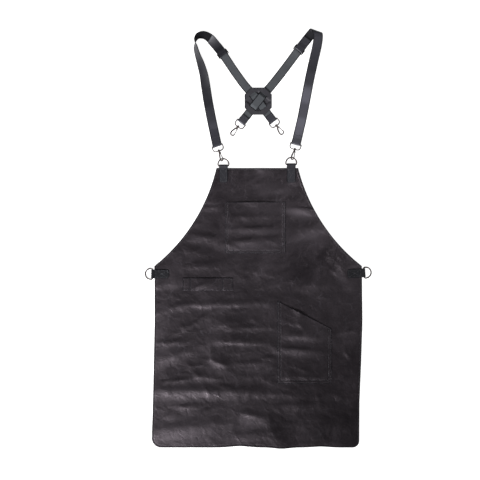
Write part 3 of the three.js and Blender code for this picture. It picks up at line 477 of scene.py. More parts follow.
def waxAndPaintedSheen(x, y):
    # how much paler the grain is painted, for rubbed wax and for highlights
    bloom = np.zeros(np.shape(x))
    for bloomX, bloomY, turn, reach, width, amount in waxAndSheenRows:
        along, across = turned(x - bloomX, y - bloomY, turn)
        bloom = bloom + amount * np.exp(-(along / reach) ** 2 - (across / width) ** 2)
    return bloom


def skirtEdge(y, side):
    edge = np.interp(y, skirtSides[:, 0], skirtSides[:, sideColumn[side]])
    radius = hide["cornerLeft"] if side < 0 else hide["cornerRight"]
    drop = np.clip(hide["hem"] + radius - y, 0, radius)
    return edge - side * (radius - np.sqrt(radius ** 2 - drop ** 2))


def armholeEdge(y, side):
    waist = np.array([skirtSides[-1, sideColumn[side]], hide["waist"]])
    top = np.array([hide["bibLeft"] if side < 0 else hide["bibRight"], hide["bibTop"]])
    chord = top - waist
    radius = ((chord ** 2).sum() / 4 + hide["hollow"] ** 2) / (2 * hide["hollow"])
    outwardWay = unit(np.array([abs(chord[1]) * side, abs(chord[0])]))
    centre = (waist + top) / 2 + outwardWay * (radius - hide["hollow"])
    return centre[0] - side * np.sqrt(np.maximum(radius ** 2 - (y - centre[1]) ** 2, 0))


def panelEdge(y, side):
    return np.where(y >= hide["waist"], armholeEdge(y, side), skirtEdge(y, side))


def hemWave(x, y):
    wave = sum(lift * np.exp(-((x - at) / reach) ** 2) for at, lift, reach in hemWaves)
    return y + wave * (1 - smooth((y - hide["hem"]) / hide["hemFade"]))


edgeSteps = {0, 0.25, 0.7, 1.3, 2.4}       # mesh lines that round an edge and end its paint
mouthSteps = np.array([0, 0.25, 0.7, 1.3, 2.6])
seamStep, lastStep = 1.1, 2.4


def insetSteps(*seams):
    # distances from an edge where the mesh needs a line: the round, the paint and each seam
    steps = set(edgeSteps)
    for seam in seams:
        steps |= {seam - seamStep, seam, seam + seamStep}
    return np.array(sorted(steps | {max(steps) + lastStep}))


def spread(low, high, insets, count):
    # mesh lines at the insets from both ends, and even ones between them
    between = np.linspace(low + insets[-1], high - insets[-1], count)[1:-1]
    return np.concatenate([low + insets, between, high - insets[::-1]])


def seamGroove(distance, seams, depth):
    return sum(depth * np.exp(-(distance - seam) ** 2) for seam in seams)


def makePanel():
    insets = insetSteps(hide["seam"])
    first, last = hide["hem"] + insets, hide["bibTop"] - insets[::-1]
    skirt = np.linspace(first[-1], hide["waist"], round((hide["waist"] - first[-1]) / hide["cell"]))
    bib = np.linspace(hide["waist"], last[0], round((last[0] - hide["waist"]) / hide["cell"]))
    heights = np.concatenate([first[:-1], skirt[:-1], bib, last[1:]])
    edges, slants = {}, {}
    for side in (-1, 1):
        edges[side] = panelEdge(heights, side)
        slope = np.gradient(edges[side], heights)
        slants[side] = np.minimum(np.sqrt(1 + slope ** 2), hide["steepest"])[:, None]
    left = edges[-1][:, None] + insets * slants[-1]
    right = edges[1][:, None] - insets[::-1] * slants[1]
    t = np.linspace(0, 1, hide["columns"] + 2)[1:-1]
    x = np.concatenate([left, mix(left[:, -1:], right[:, :1], t), right], 1)
    y = hemWave(x, np.repeat(heights[:, None], x.shape[1], 1))
    groove = seamGroove(edgeDistance(x, y), [hide["seam"]], hide["seamDepth"])
    return makeSlab("apronPanel", x, y, drape(x, y), hide["thick"], groove, panelSides, hide["paint"])


apronPanel = attach(makePanel(), "apron", "panel_leather", "apron_panel")
print("panel made,", len(apronPanel.data.polygons), "faces")


# Pockets and tool loop, sewn on the panel

bibPocket = {"left": -96.5, "right": 77.0, "bottom": -42.5, "topLeft": 105.0, "topRight": 105.0, "gape": 3.0,
             "lean": 0.5, "bulge": 0.32, "seams": [2.2, 7.6], "flat": (0.1735, 0.1475), "area": None}
slantPocket = {"left": 53.5, "right": 210.5, "bottom": -419.0, "topLeft": -180.0, "topRight": -260.5,
               "gape": 4.6, "lean": 0.40, "bulge": 0.13, "seams": [2.6, 9.6], "flat": (0.157, 0.239),
               "area": 0.0312}
pocketShape = {"thick": 1.6, "cell": 2.6, "paint": 2.2, "seamDepth": 0.6, "margin": 1.5}
gapeShares = {"body": 0.13, "bodyRise": 0.3, "lip": 0.27, "peak": 0.6, "peakRise": 0.1, "lipPower": 5}


def mouthHeight(pocket, x):
    return mix(pocket["topLeft"], pocket["topRight"], (x - pocket["left"]) / (pocket["right"] - pocket["left"]))


def pocketLift(pocket, x, y):
    # how far the pocket stands off the panel, from the sewn sides to the open mouth
    margin, lean = pocket["seams"][-1] + pocketShape["margin"], pocket["lean"]
    low = pocket["bottom"] + margin
    u = np.clip((x - pocket["left"] - margin) / (pocket["right"] - pocket["left"] - 2 * margin), 0, 1)
    v = np.clip((y - low) / (mouthHeight(pocket, x) - low), 0, 1)
    hump = smooth(u / lean) * smooth((1 - u) / (1 - lean))
    peak = np.exp(-((u - lean) / pocket["bulge"]) ** 2) * smooth(u / gapeShares["peakRise"])
    body = gapeShares["body"] * hump * smooth(v / gapeShares["bodyRise"])
    lip = (gapeShares["lip"] * hump + gapeShares["peak"] * peak) * v ** gapeShares["lipPower"]
    return pocket["gape"] * (body + lip)


def makePocket(name, pocket):
    sides, cell = insetSteps(*pocket["seams"]), pocketShape["cell"]
    columns = round((pocket["right"] - pocket["left"] - 2 * sides[-1]) / cell)
    across = spread(pocket["left"], pocket["right"], sides, columns)
    top = mouthHeight(pocket, across)
    t = np.linspace(0, 1, round((pocket["topLeft"] - pocket["bottom"]) / cell))[1:-1, None]
    y = np.concatenate([
        np.repeat(pocket["bottom"] + sides[:, None], len(across), 1),
        mix(pocket["bottom"] + sides[-1], top - mouthSteps[-1], t),
        top - mouthSteps[::-1, None],
    ])
    x = np.repeat(across[None], len(y), 0)
    sewn = np.minimum(np.minimum(x - pocket["left"], pocket["right"] - x), y - pocket["bottom"])
    groove = seamGroove(sewn, pocket["seams"], pocketShape["seamDepth"])
    under = panelTop(x, y) + sewnGap + pocketLift(pocket, x, y)
    return makeSlab(name, x, y, under, pocketShape["thick"], groove, panelSides, pocketShape["paint"])


pockets = {"bib": bibPocket, "slant": slantPocket}
for kind, pocket in pockets.items():
    piece = attach(makePocket(kind + "Pocket", pocket), "apron", "panel_leather", kind + "_pocket")

toolLoop = {"left": -219.5, "right": -74.5, "low": -149.5, "high": -113.5, "sewnLeft": 23.0, "sewnRight": 29.0,
            "slack": 2.3, "curl": 0.65, "rise": 0.55, "fall": 0.4, "thick": 1.6, "seam": 2.6, "seamDepth": 0.5,
            "tackWidth": 1.6, "tackDepth": 0.6, "paint": 2.6, "cell": 2.0, "rows": 10, "flat": (0.036, 0.147)}
loopFrom, loopTo = toolLoop["left"] + toolLoop["sewnLeft"], toolLoop["right"] - toolLoop["sewnRight"]


def loopLift(x, y):
    t = np.clip((x - loopFrom) / (loopTo - loopFrom), 0, 1)
    middle, half = (toolLoop["low"] + toolLoop["high"]) / 2, (toolLoop["high"] - toolLoop["low"]) / 2
    crown = 1 - toolLoop["curl"] * ((y - middle) / half) ** 2    # the edges curl down
    return toolLoop["slack"] * crown * smooth(t / toolLoop["rise"]) * smooth((1 - t) / toolLoop["fall"])


def makeToolLoop():
    insets = insetSteps(toolLoop["seam"])
    columns = round((toolLoop["right"] - toolLoop["left"] - 2 * insets[-1]) / toolLoop["cell"])
    x, y = np.meshgrid(spread(toolLoop["left"], toolLoop["right"], insets, columns),
                       spread(toolLoop["low"], toolLoop["high"], insets, toolLoop["rows"]))
    sewn = np.minimum(x - toolLoop["left"], toolLoop["right"] - x)
    tack = np.exp(-(np.minimum(np.abs(x - loopFrom), np.abs(loopTo - x)) / toolLoop["tackWidth"]) ** 2)
    groove = seamGroove(sewn, [toolLoop["seam"]], toolLoop["seamDepth"]) + toolLoop["tackDepth"] * tack
    under = panelTop(x, y) + sewnGap + loopLift(x, y)
    # the tack lines are painted dark as well, painted shade in their grooves
    return makeSlab("toolLoop", x, y, under, toolLoop["thick"], groove, panelSides, toolLoop["paint"], tack)


piece = attach(makeToolLoop(), "apron", "panel_leather", "tool_loop")
print("pockets and tool loop sewn on")


# Straps: a flat section swept through stations, each with a middle point and the direction of one edge

strapSection = [(-1, 0), (-0.996, 0.6), (-0.98, 0.92), (-0.95, 1), (-0.86, 1), (-0.76, 1), (-0.4, 1), (0, 1),
                (0.4, 1), (0.76, 1), (0.86, 1), (0.95, 1), (0.98, 0.92), (0.996, 0.6)]
strapSection = np.array(strapSection + [(-s, -h) for s, h in strapSection])
strapRim = {"from": 0.94, "paintFrom": 0.76, "paintFade": 0.1}     # shares of the half width
restPasses = 3            # times that a laid strap's height is worked out
leastSlant = 0.86         # keeps a strap from growing wide where its edge runs along it
turnSteps = 15
layDown = {"leave": 7.0, "sag": 0.9, "settle": 16.0, "rise": 0.5, "cover": 3.0, "ramp": 18.0}


def strapFrames(points, across):
    along = unit(np.gradient(points, axis=0))
    slant = np.maximum(np.sqrt(1 - (across * along).sum(1) ** 2), leastSlant)[:, None]
    return across / slant, unit(np.cross(across, along))


def makeStrap(name, run, width, thick, materials, sheenAndWear):
    # width, and how pale the grain is painted for wear and sheen, are one number or one for each station
    points, across = (np.array(column, float) for column in zip(*run))
    half, face = strapFrames(points, across)
    width = np.broadcast_to(width, len(points))[:, None, None]
    size = len(strapSection)
    corners = (points[:, None] + half[:, None] * strapSection[:, :1] * (width / 2)
               + face[:, None] * strapSection[:, 1:] * thick / 2).reshape(-1, 3)
    ring = np.arange(len(points) * size).reshape(-1, size)
    ahead = np.roll(ring, -1, 1)
    quads = np.stack([ring[:-1], ahead[:-1], ahead[1:], ring[1:]], 2).reshape(-1, 4)
    middle = (strapSection + np.roll(strapSection, -1, 0)) / 2
    slot = np.where(np.abs(middle[:, 0]) > strapRim["from"], 2, np.where(middle[:, 1] > 0, 0, 1))
    slots = np.concatenate([np.tile(slot, len(points) - 1), [2, 2]])
    # dark band along both edges: edge paint and painted shade
    tint = smooth((np.abs(strapSection[:, 0]) - strapRim["paintFrom"]) / strapRim["paintFade"])
    faces = [quads, ring[:1], ring[-1:, ::-1]]
    piece = makePiece(name, corners, faces, materials, slots, np.tile(tint, len(points)))
    # paler grain along the strap, painted for wear and for sheen
    paint(piece.data, "waxAndPaintedSheen", np.repeat(np.broadcast_to(sheenAndWear, len(points)), size))
    length = np.linalg.norm(np.diff(points, axis=0), axis=1).sum() / 1000   # along the middle of the leather
    return piece, round(float(length), 4)


def turnRound(bar, ahead, across, radius, start, stop):
    angles = np.radians(np.linspace(start, stop, turnSteps))
    up = np.array([0, 0, 1])
    return [(bar + ahead * radius * math.cos(a) + up * radius * math.sin(a), across) for a in angles]


def levels(thick):
    # middle of a strap that lies flat, and of one that lies on itself
    return thick / 2, thick * 3 / 2 + layGap


def stations(base, ahead, across, *places):
    # each place is a distance from the base and a height
    return [(np.array([*(base + ahead * distance)[:2], height]), across) for distance, height in places]


def lyingDown(bar, ahead, across, top, doubled):
    return stations(bar, ahead, across, (layDown["leave"], top - layDown["sag"]),
                    (layDown["settle"], doubled + layDown["rise"]))


def foldedEnd(bar, ahead, across, turn, top, flap, thick):
    # the end under the strap, its turn round a bar, then back over the end and down from it
    floor, doubled = levels(thick)
    return (stations(bar, ahead, across, (flap, floor)) + turn + lyingDown(bar, ahead, across, top, doubled)
            + stations(bar, ahead, across, (flap + layDown["cover"], doubled), (flap + layDown["ramp"], floor)))


def throughPoints(points, count):
    # centripetal curve through the points, with equal shares of the count between them
    points = np.asarray(points, float)
    padded = np.concatenate([[2 * points[0] - points[1]], points, [2 * points[-1] - points[-2]]])
    gaps = np.linalg.norm(np.diff(padded, axis=0), axis=1) ** 0.5
    gaps[gaps < 1e-4] = 1.0
    out = []
    for t in np.linspace(0, len(points) - 1, count + 1):
        i = min(int(t), len(points) - 2)
        w = t - i
        p0, p1, p2, p3 = padded[i:i + 4]
        d0, d1, d2 = gaps[i:i + 3]
        m1 = ((p1 - p0) / d0 - (p2 - p0) / (d0 + d1) + (p2 - p1) / d1) * d1
        m2 = ((p2 - p1) / d1 - (p3 - p1) / (d1 + d2) + (p3 - p2) / d2) * d1
        bend, close = -3 * p1 + 3 * p2 - 2 * m1 - m2, 2 * p1 - 2 * p2 + m1 + m2
        out.append(p1 + m1 * w + bend * w ** 2 + close * w ** 3)
    return np.array(out)


# Tabs, in their own frame with +Y outward, then turned to the edge they are sewn on

def rotation(degrees, axis):
    return Matrix.Rotation(math.radians(degrees), 4, axis)


def tabPlace(tab):
    return Matrix.Translation((tab["x"], tab["y"], 0)) @ rotation(tab["turn"], "Z")


def placed(matrix, points):
    return np.asarray(points, float) @ np.array(matrix.to_3x3()).T + np.array(matrix.translation)


def makeTab(name, tab):
    leg, thick, r = tabShape["frontLeg"], tabShape["thick"], tabShape["corner"]
    frontZ = seatHeight + hide["thick"] + sewnGap + thick / 2
    ends = tabShape["endSteps"]
    profile = [(d - leg, frontZ) for d in ends]
    profile += [(y, frontZ) for y in np.linspace(tabShape["flatFrom"] - leg, -thick, tabShape["flatSteps"])]
    profile += [(tab["reach"] / 2, (frontZ + tabBar + tabFold) / 2)]
    profile += [(tab["reach"] + tabFold * math.cos(a), tabBar + tabFold * math.sin(a))
                for a in np.radians(np.linspace(90, -90, tabShape["turnSteps"]))]
    profile += [(0, thick / 2), (-tabShape["backLeg"], thick / 2)]
    widths = np.full(len(profile), tabShape["width"])
    widths[:len(ends)] -= [2 * (r - math.sqrt(r ** 2 - (r - d) ** 2)) for d in ends]
    place = tabPlace(tab)
    across = np.array(place.to_3x3())[:, 0]
    run = [(point, across) for point in placed(place, [(0, y, z) for y, z in profile])]
    return makeStrap(name, run, widths, thick, [tabLeather, liningLeather, rimShadeAndPaint], tab["sheenAndWear"])


for key, tab in tabs.items():
    where, side = key.split("_")
    piece, length = makeTab(where + "Tab" + side.title(), tab)
    attach(piece, "apron", "strap_leather", where + "_tab_" + side)
print("tabs folded round their rings")


# Cross patch and back straps

patchShape = {"side": 78.5, "cut": 20.0, "thick": 2.0, "slotHalf": 12.15, "slotInner": 19.0, "slotOuter": 27.0,
              "riseFrom": 19.5, "riseTo": 24.5, "cells": 44, "spare": 1.0, "slabPaint": 0.1,
              "paintFrom": 0.7, "paintFade": 1.2, "flat": (0.0785, 0.0785), "area": 0.0044}
# the back straps' folded ends are painted paler, for wear and for sheen
backShape = {"width": 24.8, "thick": 2.0, "flap": 20.0, "slotEnd": 32.0, "sheenAndWear": 0.36, "bowLean": 0.6,
             "bowFrom": 12.0, "bowTo": 8.0, "bowSteps": 8, "crossSteps": 41, "flatOver": 2 / 3}
backStraps = {
    "left": {"side": -1, "heading": 36.8, "up": 170.0, "down": 71.0, "over": 0, "bow": -3.7},
    "right": {"side": 1, "heading": 38.4, "up": 189.0, "down": 77.0, "over": 1, "bow": 2.2},
}
sliderShape = {"thick": 2.0, "bar": 2.6, "inside": 27.5, "upper": 8.0, "lower": 6.7, "corner": 2.2, "midBar": 0.92,
               "pressed": 0.77, "cornerSteps": 6, "barSteps": 9}
shoulderShape = {"width": 27.2, "thick": 2.2, "flap": 30.0, "steps": 130, "sewn": [(12.5, 6.1), (24.0, 5.15)]}
loopShape = {"wire": 1.6, "farHalf": 6.0, "shoulder": 7.0, "depth": 17.0, "bend": 2.2, "bendSteps": 9}
shoulderFold = loopShape["wire"] + wrapGap + shoulderShape["thick"] / 2
backFold = loopShape["wire"] + wrapGap + backShape["thick"] / 2
sliderReach = math.hypot(sliderShape["thick"], sliderShape["bar"]) / 2 + wrapGap
sliderFold = sliderReach + shoulderShape["thick"] / 2
sliderBackFold = sliderReach + backShape["thick"] / 2
sliderZ = shoulderShape["thick"] / 2 + sliderFold
cutterLow, cutterHigh = -20, 30


def backLine(strap):
    heading = math.radians(strap["heading"])
    ahead = np.array([-strap["side"] * math.sin(heading), -math.cos(heading), 0])
    middle = np.array([crossing["x"], crossing["y"], 0])
    return SimpleNamespace(
        ahead=ahead, across=np.array([-ahead[1], ahead[0], 0]), middle=middle,
        slider=middle - ahead * strap["up"] + np.array([0, 0, sliderZ]),
        bar=middle + ahead * strap["down"] + np.array([0, 0, backShape["thick"] / 2 + backFold]))


def patchHeight(x, y):
    ways = [backLine(strap).ahead for strap in backStraps.values()]
    reach = np.max([np.abs(x * way[0] + y * way[1]) for way in ways], axis=0)
    rise = smooth((reach - patchShape["riseFrom"]) / (patchShape["riseTo"] - patchShape["riseFrom"]))
    return rise * (backShape["thick"] + layGap)


def boxCutter(outline):
    # upright prism over an outline round the crossing, used only to cut
    count = len(outline)
    walls = np.array([(k, (k + 1) % count, count + (k + 1) % count, count + k) for k in range(count)])
    ring = np.arange(count)[None]
    solid = [(x + crossing["x"], y + crossing["y"], z) for z in (cutterLow, cutterHigh) for x, y in outline]
    return makePiece("cutter", solid, [walls, ring[:, ::-1], ring + count], [])


def meshOf(piece):
    # the piece's mesh with its modifiers done
    return bpy.data.meshes.new_from_object(piece.evaluated_get(bpy.context.evaluated_depsgraph_get()))


def makePatch():
    half = patchShape["side"] / 2
    flat = half - patchShape["cut"]
    spots = np.linspace(-half - patchShape["spare"], half + patchShape["spare"], patchShape["cells"])
    x, y = np.meshgrid(spots, spots)
    piece = makeSlab("crossPatch", x + crossing["x"], y + crossing["y"], patchHeight(x, y), patchShape["thick"],
                     np.zeros_like(x), [patchLeather, darkSuede, rimShadeAndPaint], patchShape["slabPaint"])
    cutters = [("INTERSECT", [(-flat, -half), (flat, -half), (half, -flat), (half, flat),
                              (flat, half), (-flat, half), (-half, flat), (-half, -flat)])]
    inner, outer = patchShape["slotInner"], patchShape["slotOuter"]
    for strap in backStraps.values():
        line = backLine(strap)
        for end in (-1, 1):
            slot = [line.ahead * end * reach + line.across * lean * patchShape["slotHalf"]
                    for reach, lean in ((inner, -1), (inner, 1), (outer, 1), (outer, -1))]
            cutters.append(("DIFFERENCE", [point[:2] for point in slot]))
    knives = []
    for way, outline in cutters:
        knife = piece.modifiers.new("cut", "BOOLEAN")
        knife.operation, knife.solver, knife.object = way, "EXACT", boxCutter(outline)
        knives.append(knife.object)
    shaped = meshOf(piece)
    piece.modifiers.clear()
    for knife in knives:
        bpy.data.objects.remove(knife)
    piece.data = shaped
    spots = np.array([v.co[:2] for v in shaped.vertices]) * 1000 - planShift[:2]
    spots -= [crossing["x"], crossing["y"]]
    inside = np.minimum(half - np.abs(spots).max(1), (half + flat - np.abs(spots).sum(1)) / math.sqrt(2))
    # dark band along the patch's edges: edge paint and painted shade
    paint(shaped, "edgeShadeAndPaint", 1 - smooth((inside - patchShape["paintFrom"]) / patchShape["paintFade"]))
    shaped.set_sharp_from_angle(angle=math.radians(sharpPatch))
    return piece


def bowed(strap, run):
    # the strap sags sideways between its slider and the patch, most of all near the patch
    line = backLine(strap)
    shifted = []
    for point, edge in run:
        along = (line.middle - point)[:2] @ line.ahead[:2] - backShape["slotEnd"]
        share = np.clip(along / (strap["up"] - backShape["slotEnd"]), 0, 1)
        sag = math.sin(math.pi * share ** backShape["bowLean"])
        shifted.append((point + line.across * strap["bow"] * sag, edge))
    return shifted


def makeBackStrap(name, strap):
    line = backLine(strap)
    ahead, across, bar = line.ahead, line.across, line.bar
    thick, flap, slotEnd = backShape["thick"], backShape["flap"], backShape["slotEnd"]
    floor, doubled = levels(thick)
    summit = patchShape["thick"] + layGap + floor + strap["over"] * (thick + layGap)
    flat = backShape["width"] * backShape["flatOver"] if strap["over"] else patchShape["slotInner"]
    lowerBar = line.slider + ahead * sliderShape["lower"]
    turn = turnRound(lowerBar, ahead, across, sliderBackFold, 270, 90)
    run = foldedEnd(lowerBar, ahead, across, turn, sliderZ + sliderBackFold, flap, thick)
    start = strap["up"] - sliderShape["lower"] - flap - layDown["ramp"] - backShape["bowFrom"]
    for d in np.linspace(start, slotEnd + backShape["bowTo"], backShape["bowSteps"]):
        run += stations(line.middle, ahead, across, (-d, floor))
    for d in np.linspace(-slotEnd, slotEnd, backShape["crossSteps"]):
        fall = float(smooth((abs(d) - flat) / (patchShape["slotOuter"] - flat)))
        run += stations(line.middle, ahead, across, (d, mix(summit, floor, fall)))
    run += turnRound(bar, ahead, across, backFold, -90, 90)
    run += lyingDown(bar, -ahead, across, bar[2] + backFold, doubled)
    run += stations(bar, ahead, across, (-flap, doubled))
    # the grain is outside of the folds, so the flesh side shows between them
    return makeStrap(name, bowed(strap, run), backShape["width"], thick, [strapLeather, greySuede, rimShadeAndPaint],
                     backShape["sheenAndWear"])


crossPatch = attach(makePatch(), "apron", "panel_leather", "cross_patch")
for side, strap in backStraps.items():
    piece, length = makeBackStrap("backStrap" + side.title(), strap)
    attach(piece, "apron", "suede_leather", "back_strap_" + side)
print("back straps crossed through the patch")


# Shoulder straps: x, y, turn of the upper edge, its rise, extra height

leftShoulder = [
    (-135.5, 342, 12, 0, 0), (-146, 397, 10, 0, 0), (-152, 435, 9, 8, 0), (-158, 472, 12, 26, 0),
    (-166.8, 503, 15, 40, 0), (-175.8, 529, 14, 57, 0), (-181.6, 551, 10, 66, 0), (-183, 569, 150, 82, 0),
    (-175.5, 582, 128, 64, 0), (-158.5, 585.2, 95, 45, 0), (-141, 577, 58, 28, 0), (-127, 562, 42, 12, 0),
    (-116, 549, 37, 0, 0),
]
rightShoulder = [
    (124, 342, -13, 0, 0), (135.5, 400, -11, 0, 0), (146.5, 458, -12, 0, 1), (159, 515, -12, 0, 5),
    (168, 556, -9, 0, 11), (170.8, 580, -9, 0, 14), (168.8, 592.5, -14, 0, 13), (166, 598, -20, 0, 9),
    (160, 597, -26, 0, 4), (150.5, 588, -32, 0, 0.8), (138, 572.5, -37, 0, 0),
]
# wear and sheen pairs are y and how pale the grain is painted there, for rubbed wear and for painted sheen
shoulderStraps = {
    "left": {"tab": "top_left", "back": "left", "hookTurn": -18.5, "rows": leftShoulder, "tail": 58.0,
             "lining": shadedLining,
             "sheenAndWear": [(280, 0.27), (300, 0.25), (326, 0.37), (340, 0.2), (372, 0.15), (384, 0.02)]},
    "right": {"tab": "top_right", "back": "right", "hookTurn": 14.0, "rows": rightShoulder, "tail": 42.0,
              "lining": liningLeather,
              "sheenAndWear": [(285, 0.45), (300, 1.0), (342, 1.0), (352, 0.55), (385, 0.5), (398, 1.0), (426, 0.95),
                       (446, 0.18), (474, 0.18), (486, 0.05), (510, 0.06), (580, 0.28)]},
}
hairpin = {"joins": 4.0, "crest": 1.5, "overBar": 8.0, "settle": 14.0, "rise": 1.6, "tailFrom": 22.0}
hookShape = {"reach": 41.8, "frontTilt": 51.0, "frontPitch": 3.7, "backPitch": -2.3, "frontBar": 15.6,
             "backBar": 14.6, "backTilt": 0.0}


def frontHook(strap):
    # where the hook hangs on its ring, and the strap's bar behind it
    tab, turn = tabs[strap["tab"]], math.radians(strap["hookTurn"])
    along = (ringShape["leg"] + ringShape["half"] * math.cos(turn)) * math.cos(math.radians(tab["pitch"]))
    contact = np.array([tab["x"] + ringShape["half"] * math.sin(turn), tab["y"] + tab["reach"] + along, 0])
    ahead = np.array([-math.sin(turn), -math.cos(turn), 0])
    bar = contact - ahead * hookShape["reach"] * math.cos(math.radians(hookShape["frontPitch"]))
    bar[2] = shoulderShape["thick"] / 2 + shoulderFold
    return bar, ahead


def shoulderLead(strap):
    # way from the hook's bar to the strap's first row
    bar, _ = frontHook(strap)
    x, y = strap["rows"][0][:2]
    return bar, unit(np.array([x - bar[0], y - bar[1], 0]))


def edgeWay(turn, rise):
    turn, rise = math.radians(turn), math.radians(rise)
    return np.array([math.cos(rise) * math.cos(turn), math.cos(rise) * math.sin(turn), math.sin(rise)])


def layStrap(points, across, width, thick):
    # the lowest edge rests on the surface, plus the lift that the point already has
    rested = points.copy()
    for _ in range(restPasses):
        half, face = strapFrames(rested, across)
        rested[:, 2] = points[:, 2] + np.abs(half[:, 2]) * width / 2 + np.abs(face[:, 2]) * thick / 2
    return rested


def makeShoulderStrap(name, strap):
    _, down = frontHook(strap)
    bar, lead = shoulderLead(strap)
    line = backLine(backStraps[strap["back"]])
    ahead, sideways, slider = line.ahead, line.across, line.slider
    width, thick, flap = shoulderShape["width"], shoulderShape["thick"], shoulderShape["flap"]
    edge = np.array([-down[1], down[0], 0])
    leadEdge = np.array([lead[1], -lead[0], 0])
    turn = turnRound(bar, down, edge, shoulderFold, -90, 90)
    run = foldedEnd(bar, lead, leadEdge, turn, bar[2] + shoulderFold, flap, thick)
    rows = stations(bar, lead, leadEdge, (flap + layDown["ramp"], 0))
    rows += [(np.array([x, y, lift]), edgeWay(turn, rise)) for x, y, turn, rise, lift in strap["rows"]]
    rows += stations(slider, ahead, sideways, (-hairpin["joins"], 0))
    points, across = (throughPoints(column, shoulderShape["steps"])[1:] for column in zip(*rows))
    across = unit(across)
    points[:, 2] = np.maximum(points[:, 2], 0)
    points = layStrap(points, across, width, thick)
    run += list(zip(points, across))
    run += turnRound(slider, ahead, sideways, sliderFold, -90, 90)
    overBar, (_, doubled) = slider[2] + sliderFold, levels(thick)
    run += stations(slider, ahead, sideways, (-hairpin["joins"], overBar - hairpin["crest"]),
                    (-hairpin["overBar"], overBar), (-hairpin["settle"], doubled + hairpin["rise"]))
    # the tail goes back over the strap as far as it reaches
    _, face = strapFrames(points, across)
    away = np.linalg.norm(points - slider, axis=1)
    for i in range(len(points) - 2, 0, -1):
        if away[i] >= strap["tail"]:
            break
        if away[i] > hairpin["tailFrom"]:
            run.append((points[i] - face[i] * (thick + layGap), across[i]))
    sheenAndWear = np.interp([point[1] for point, _ in run], *zip(*strap["sheenAndWear"]))
    return makeStrap(name, run, width, thick, [strapLeather, strap["lining"], rimShadeAndPaint], sheenAndWear)


for side, strap in shoulderStraps.items():
    piece, length = makeShoulderStrap("shoulderStrap" + side.title(), strap)
    attach(piece, "apron", "strap_leather", "shoulder_strap_" + side)
print("shoulder straps laid over")


# Metal: shells of round wire along a flat path and of turned profiles, each as points, rings, sides, closed

capAngles = np.radians([35, 62, 84])


def around(sides):
    return np.arange(sides) / sides * 2 * math.pi


def wireShell(path, radius, closed, sides=14):
    path = np.asarray(path, float)
    radius = np.broadcast_to(np.asarray(radius, float), len(path))
    if closed:
        along = np.roll(path, -1, 0) - np.roll(path, 1, 0)
    else:  # rounded ends
        out, shrink = np.sin(capAngles)[:, None], np.cos(capAngles)
        first, last = unit(path[0] - path[1]) * radius[0], unit(path[-1] - path[-2]) * radius[-1]
        path = np.concatenate([path[0] + first * out[::-1], path, path[-1] + last * out])
        radius = np.concatenate([radius[0] * shrink[::-1], radius, radius[-1] * shrink])
        along = np.gradient(path, axis=0)
    along = unit(along)
    sideways = np.stack([-along[:, 1], along[:, 0]], 1)
    across, high = radius[:, None] * np.cos(around(sides)), radius[:, None] * np.sin(around(sides))
    flat = path[:, None] + sideways[:, None] * across[..., None]
    return np.concatenate([flat, high[..., None]], 2).reshape(-1, 3), len(path), sides, closed


def turnedShell(profile, sides=20):
    # profile is radius and place along +Y, from axis to axis
    points = [(r * math.cos(a), y, r * math.sin(a)) for r, y in profile for a in around(sides)]
    return np.array(points), len(profile), sides, False


def uprightAt(shell, x, y):
    cloud, *rest = shell
    return cloud[:, [0, 2, 1]] * [1, -1, 1] + [x, y, 0], *rest


def joinShells(shells):
    points, groups, base = [], {}, 0
    for cloud, count, sides, closed in shells:
        ring = np.arange(count * sides).reshape(count, sides)
        near = ring if closed else ring[:-1]
        far = np.roll(ring, -1, 0) if closed else ring[1:]
        quads = np.stack([near, np.roll(near, -1, 1), np.roll(far, -1, 1), far], 2).reshape(-1, 4)
        caps = [] if closed else [ring[:1, ::-1], ring[-1:]]
        for faces in outward(cloud, [quads] + caps):
            groups.setdefault(faces.shape[1], []).append(faces + base)
        points.append(cloud)
        base += len(cloud)
    return np.concatenate(points), [np.concatenate(groups[size]) for size in sorted(groups)]


def makeMetalPiece(name, shells, matrix, finish=nickel):
    points, faces = joinShells(shells)
    return makePiece(name, placed(matrix, points), faces, [finish], sharp=sharpMetal)


def arc(cx, cy, radius, start, stop, count):
    angles = np.radians(np.linspace(start, stop, count))
    return [(cx + radius * math.cos(a), cy + radius * math.sin(a)) for a in angles]


def makeRing(name, tab):
    half, leg, bend = ringShape["half"], ringShape["leg"], ringShape["bend"]
    path = [(x, 0) for x in np.linspace(bend - half, half - bend, ringShape["barSteps"])[1:-1]]
    path += arc(half - bend, bend, bend, -90, 0, ringShape["bendSteps"])
    path += arc(0, leg, half, 0, 180, ringShape["arcSteps"])
    path += arc(bend - half, bend, bend, 180, 270, ringShape["bendSteps"])
    place = tabPlace(tab) @ Matrix.Translation((0, tab["reach"], tabBar)) @ rotation(tab["pitch"], "X")
    return makeMetalPiece(name, [wireShell(path, ringShape["wire"], closed=True, sides=16)], place)


for key, tab in tabs.items():
    where, side = key.split("_")
    body = "ring_" + side if where == "side" else "apron"
    attach(makeRing(where + "Ring" + side.title(), tab), body, "nickel", where + "_ring_" + side)


def headingOf(ahead):
    return Matrix.Rotation(math.atan2(ahead[1], ahead[0]) - math.pi / 2, 4, "Z")


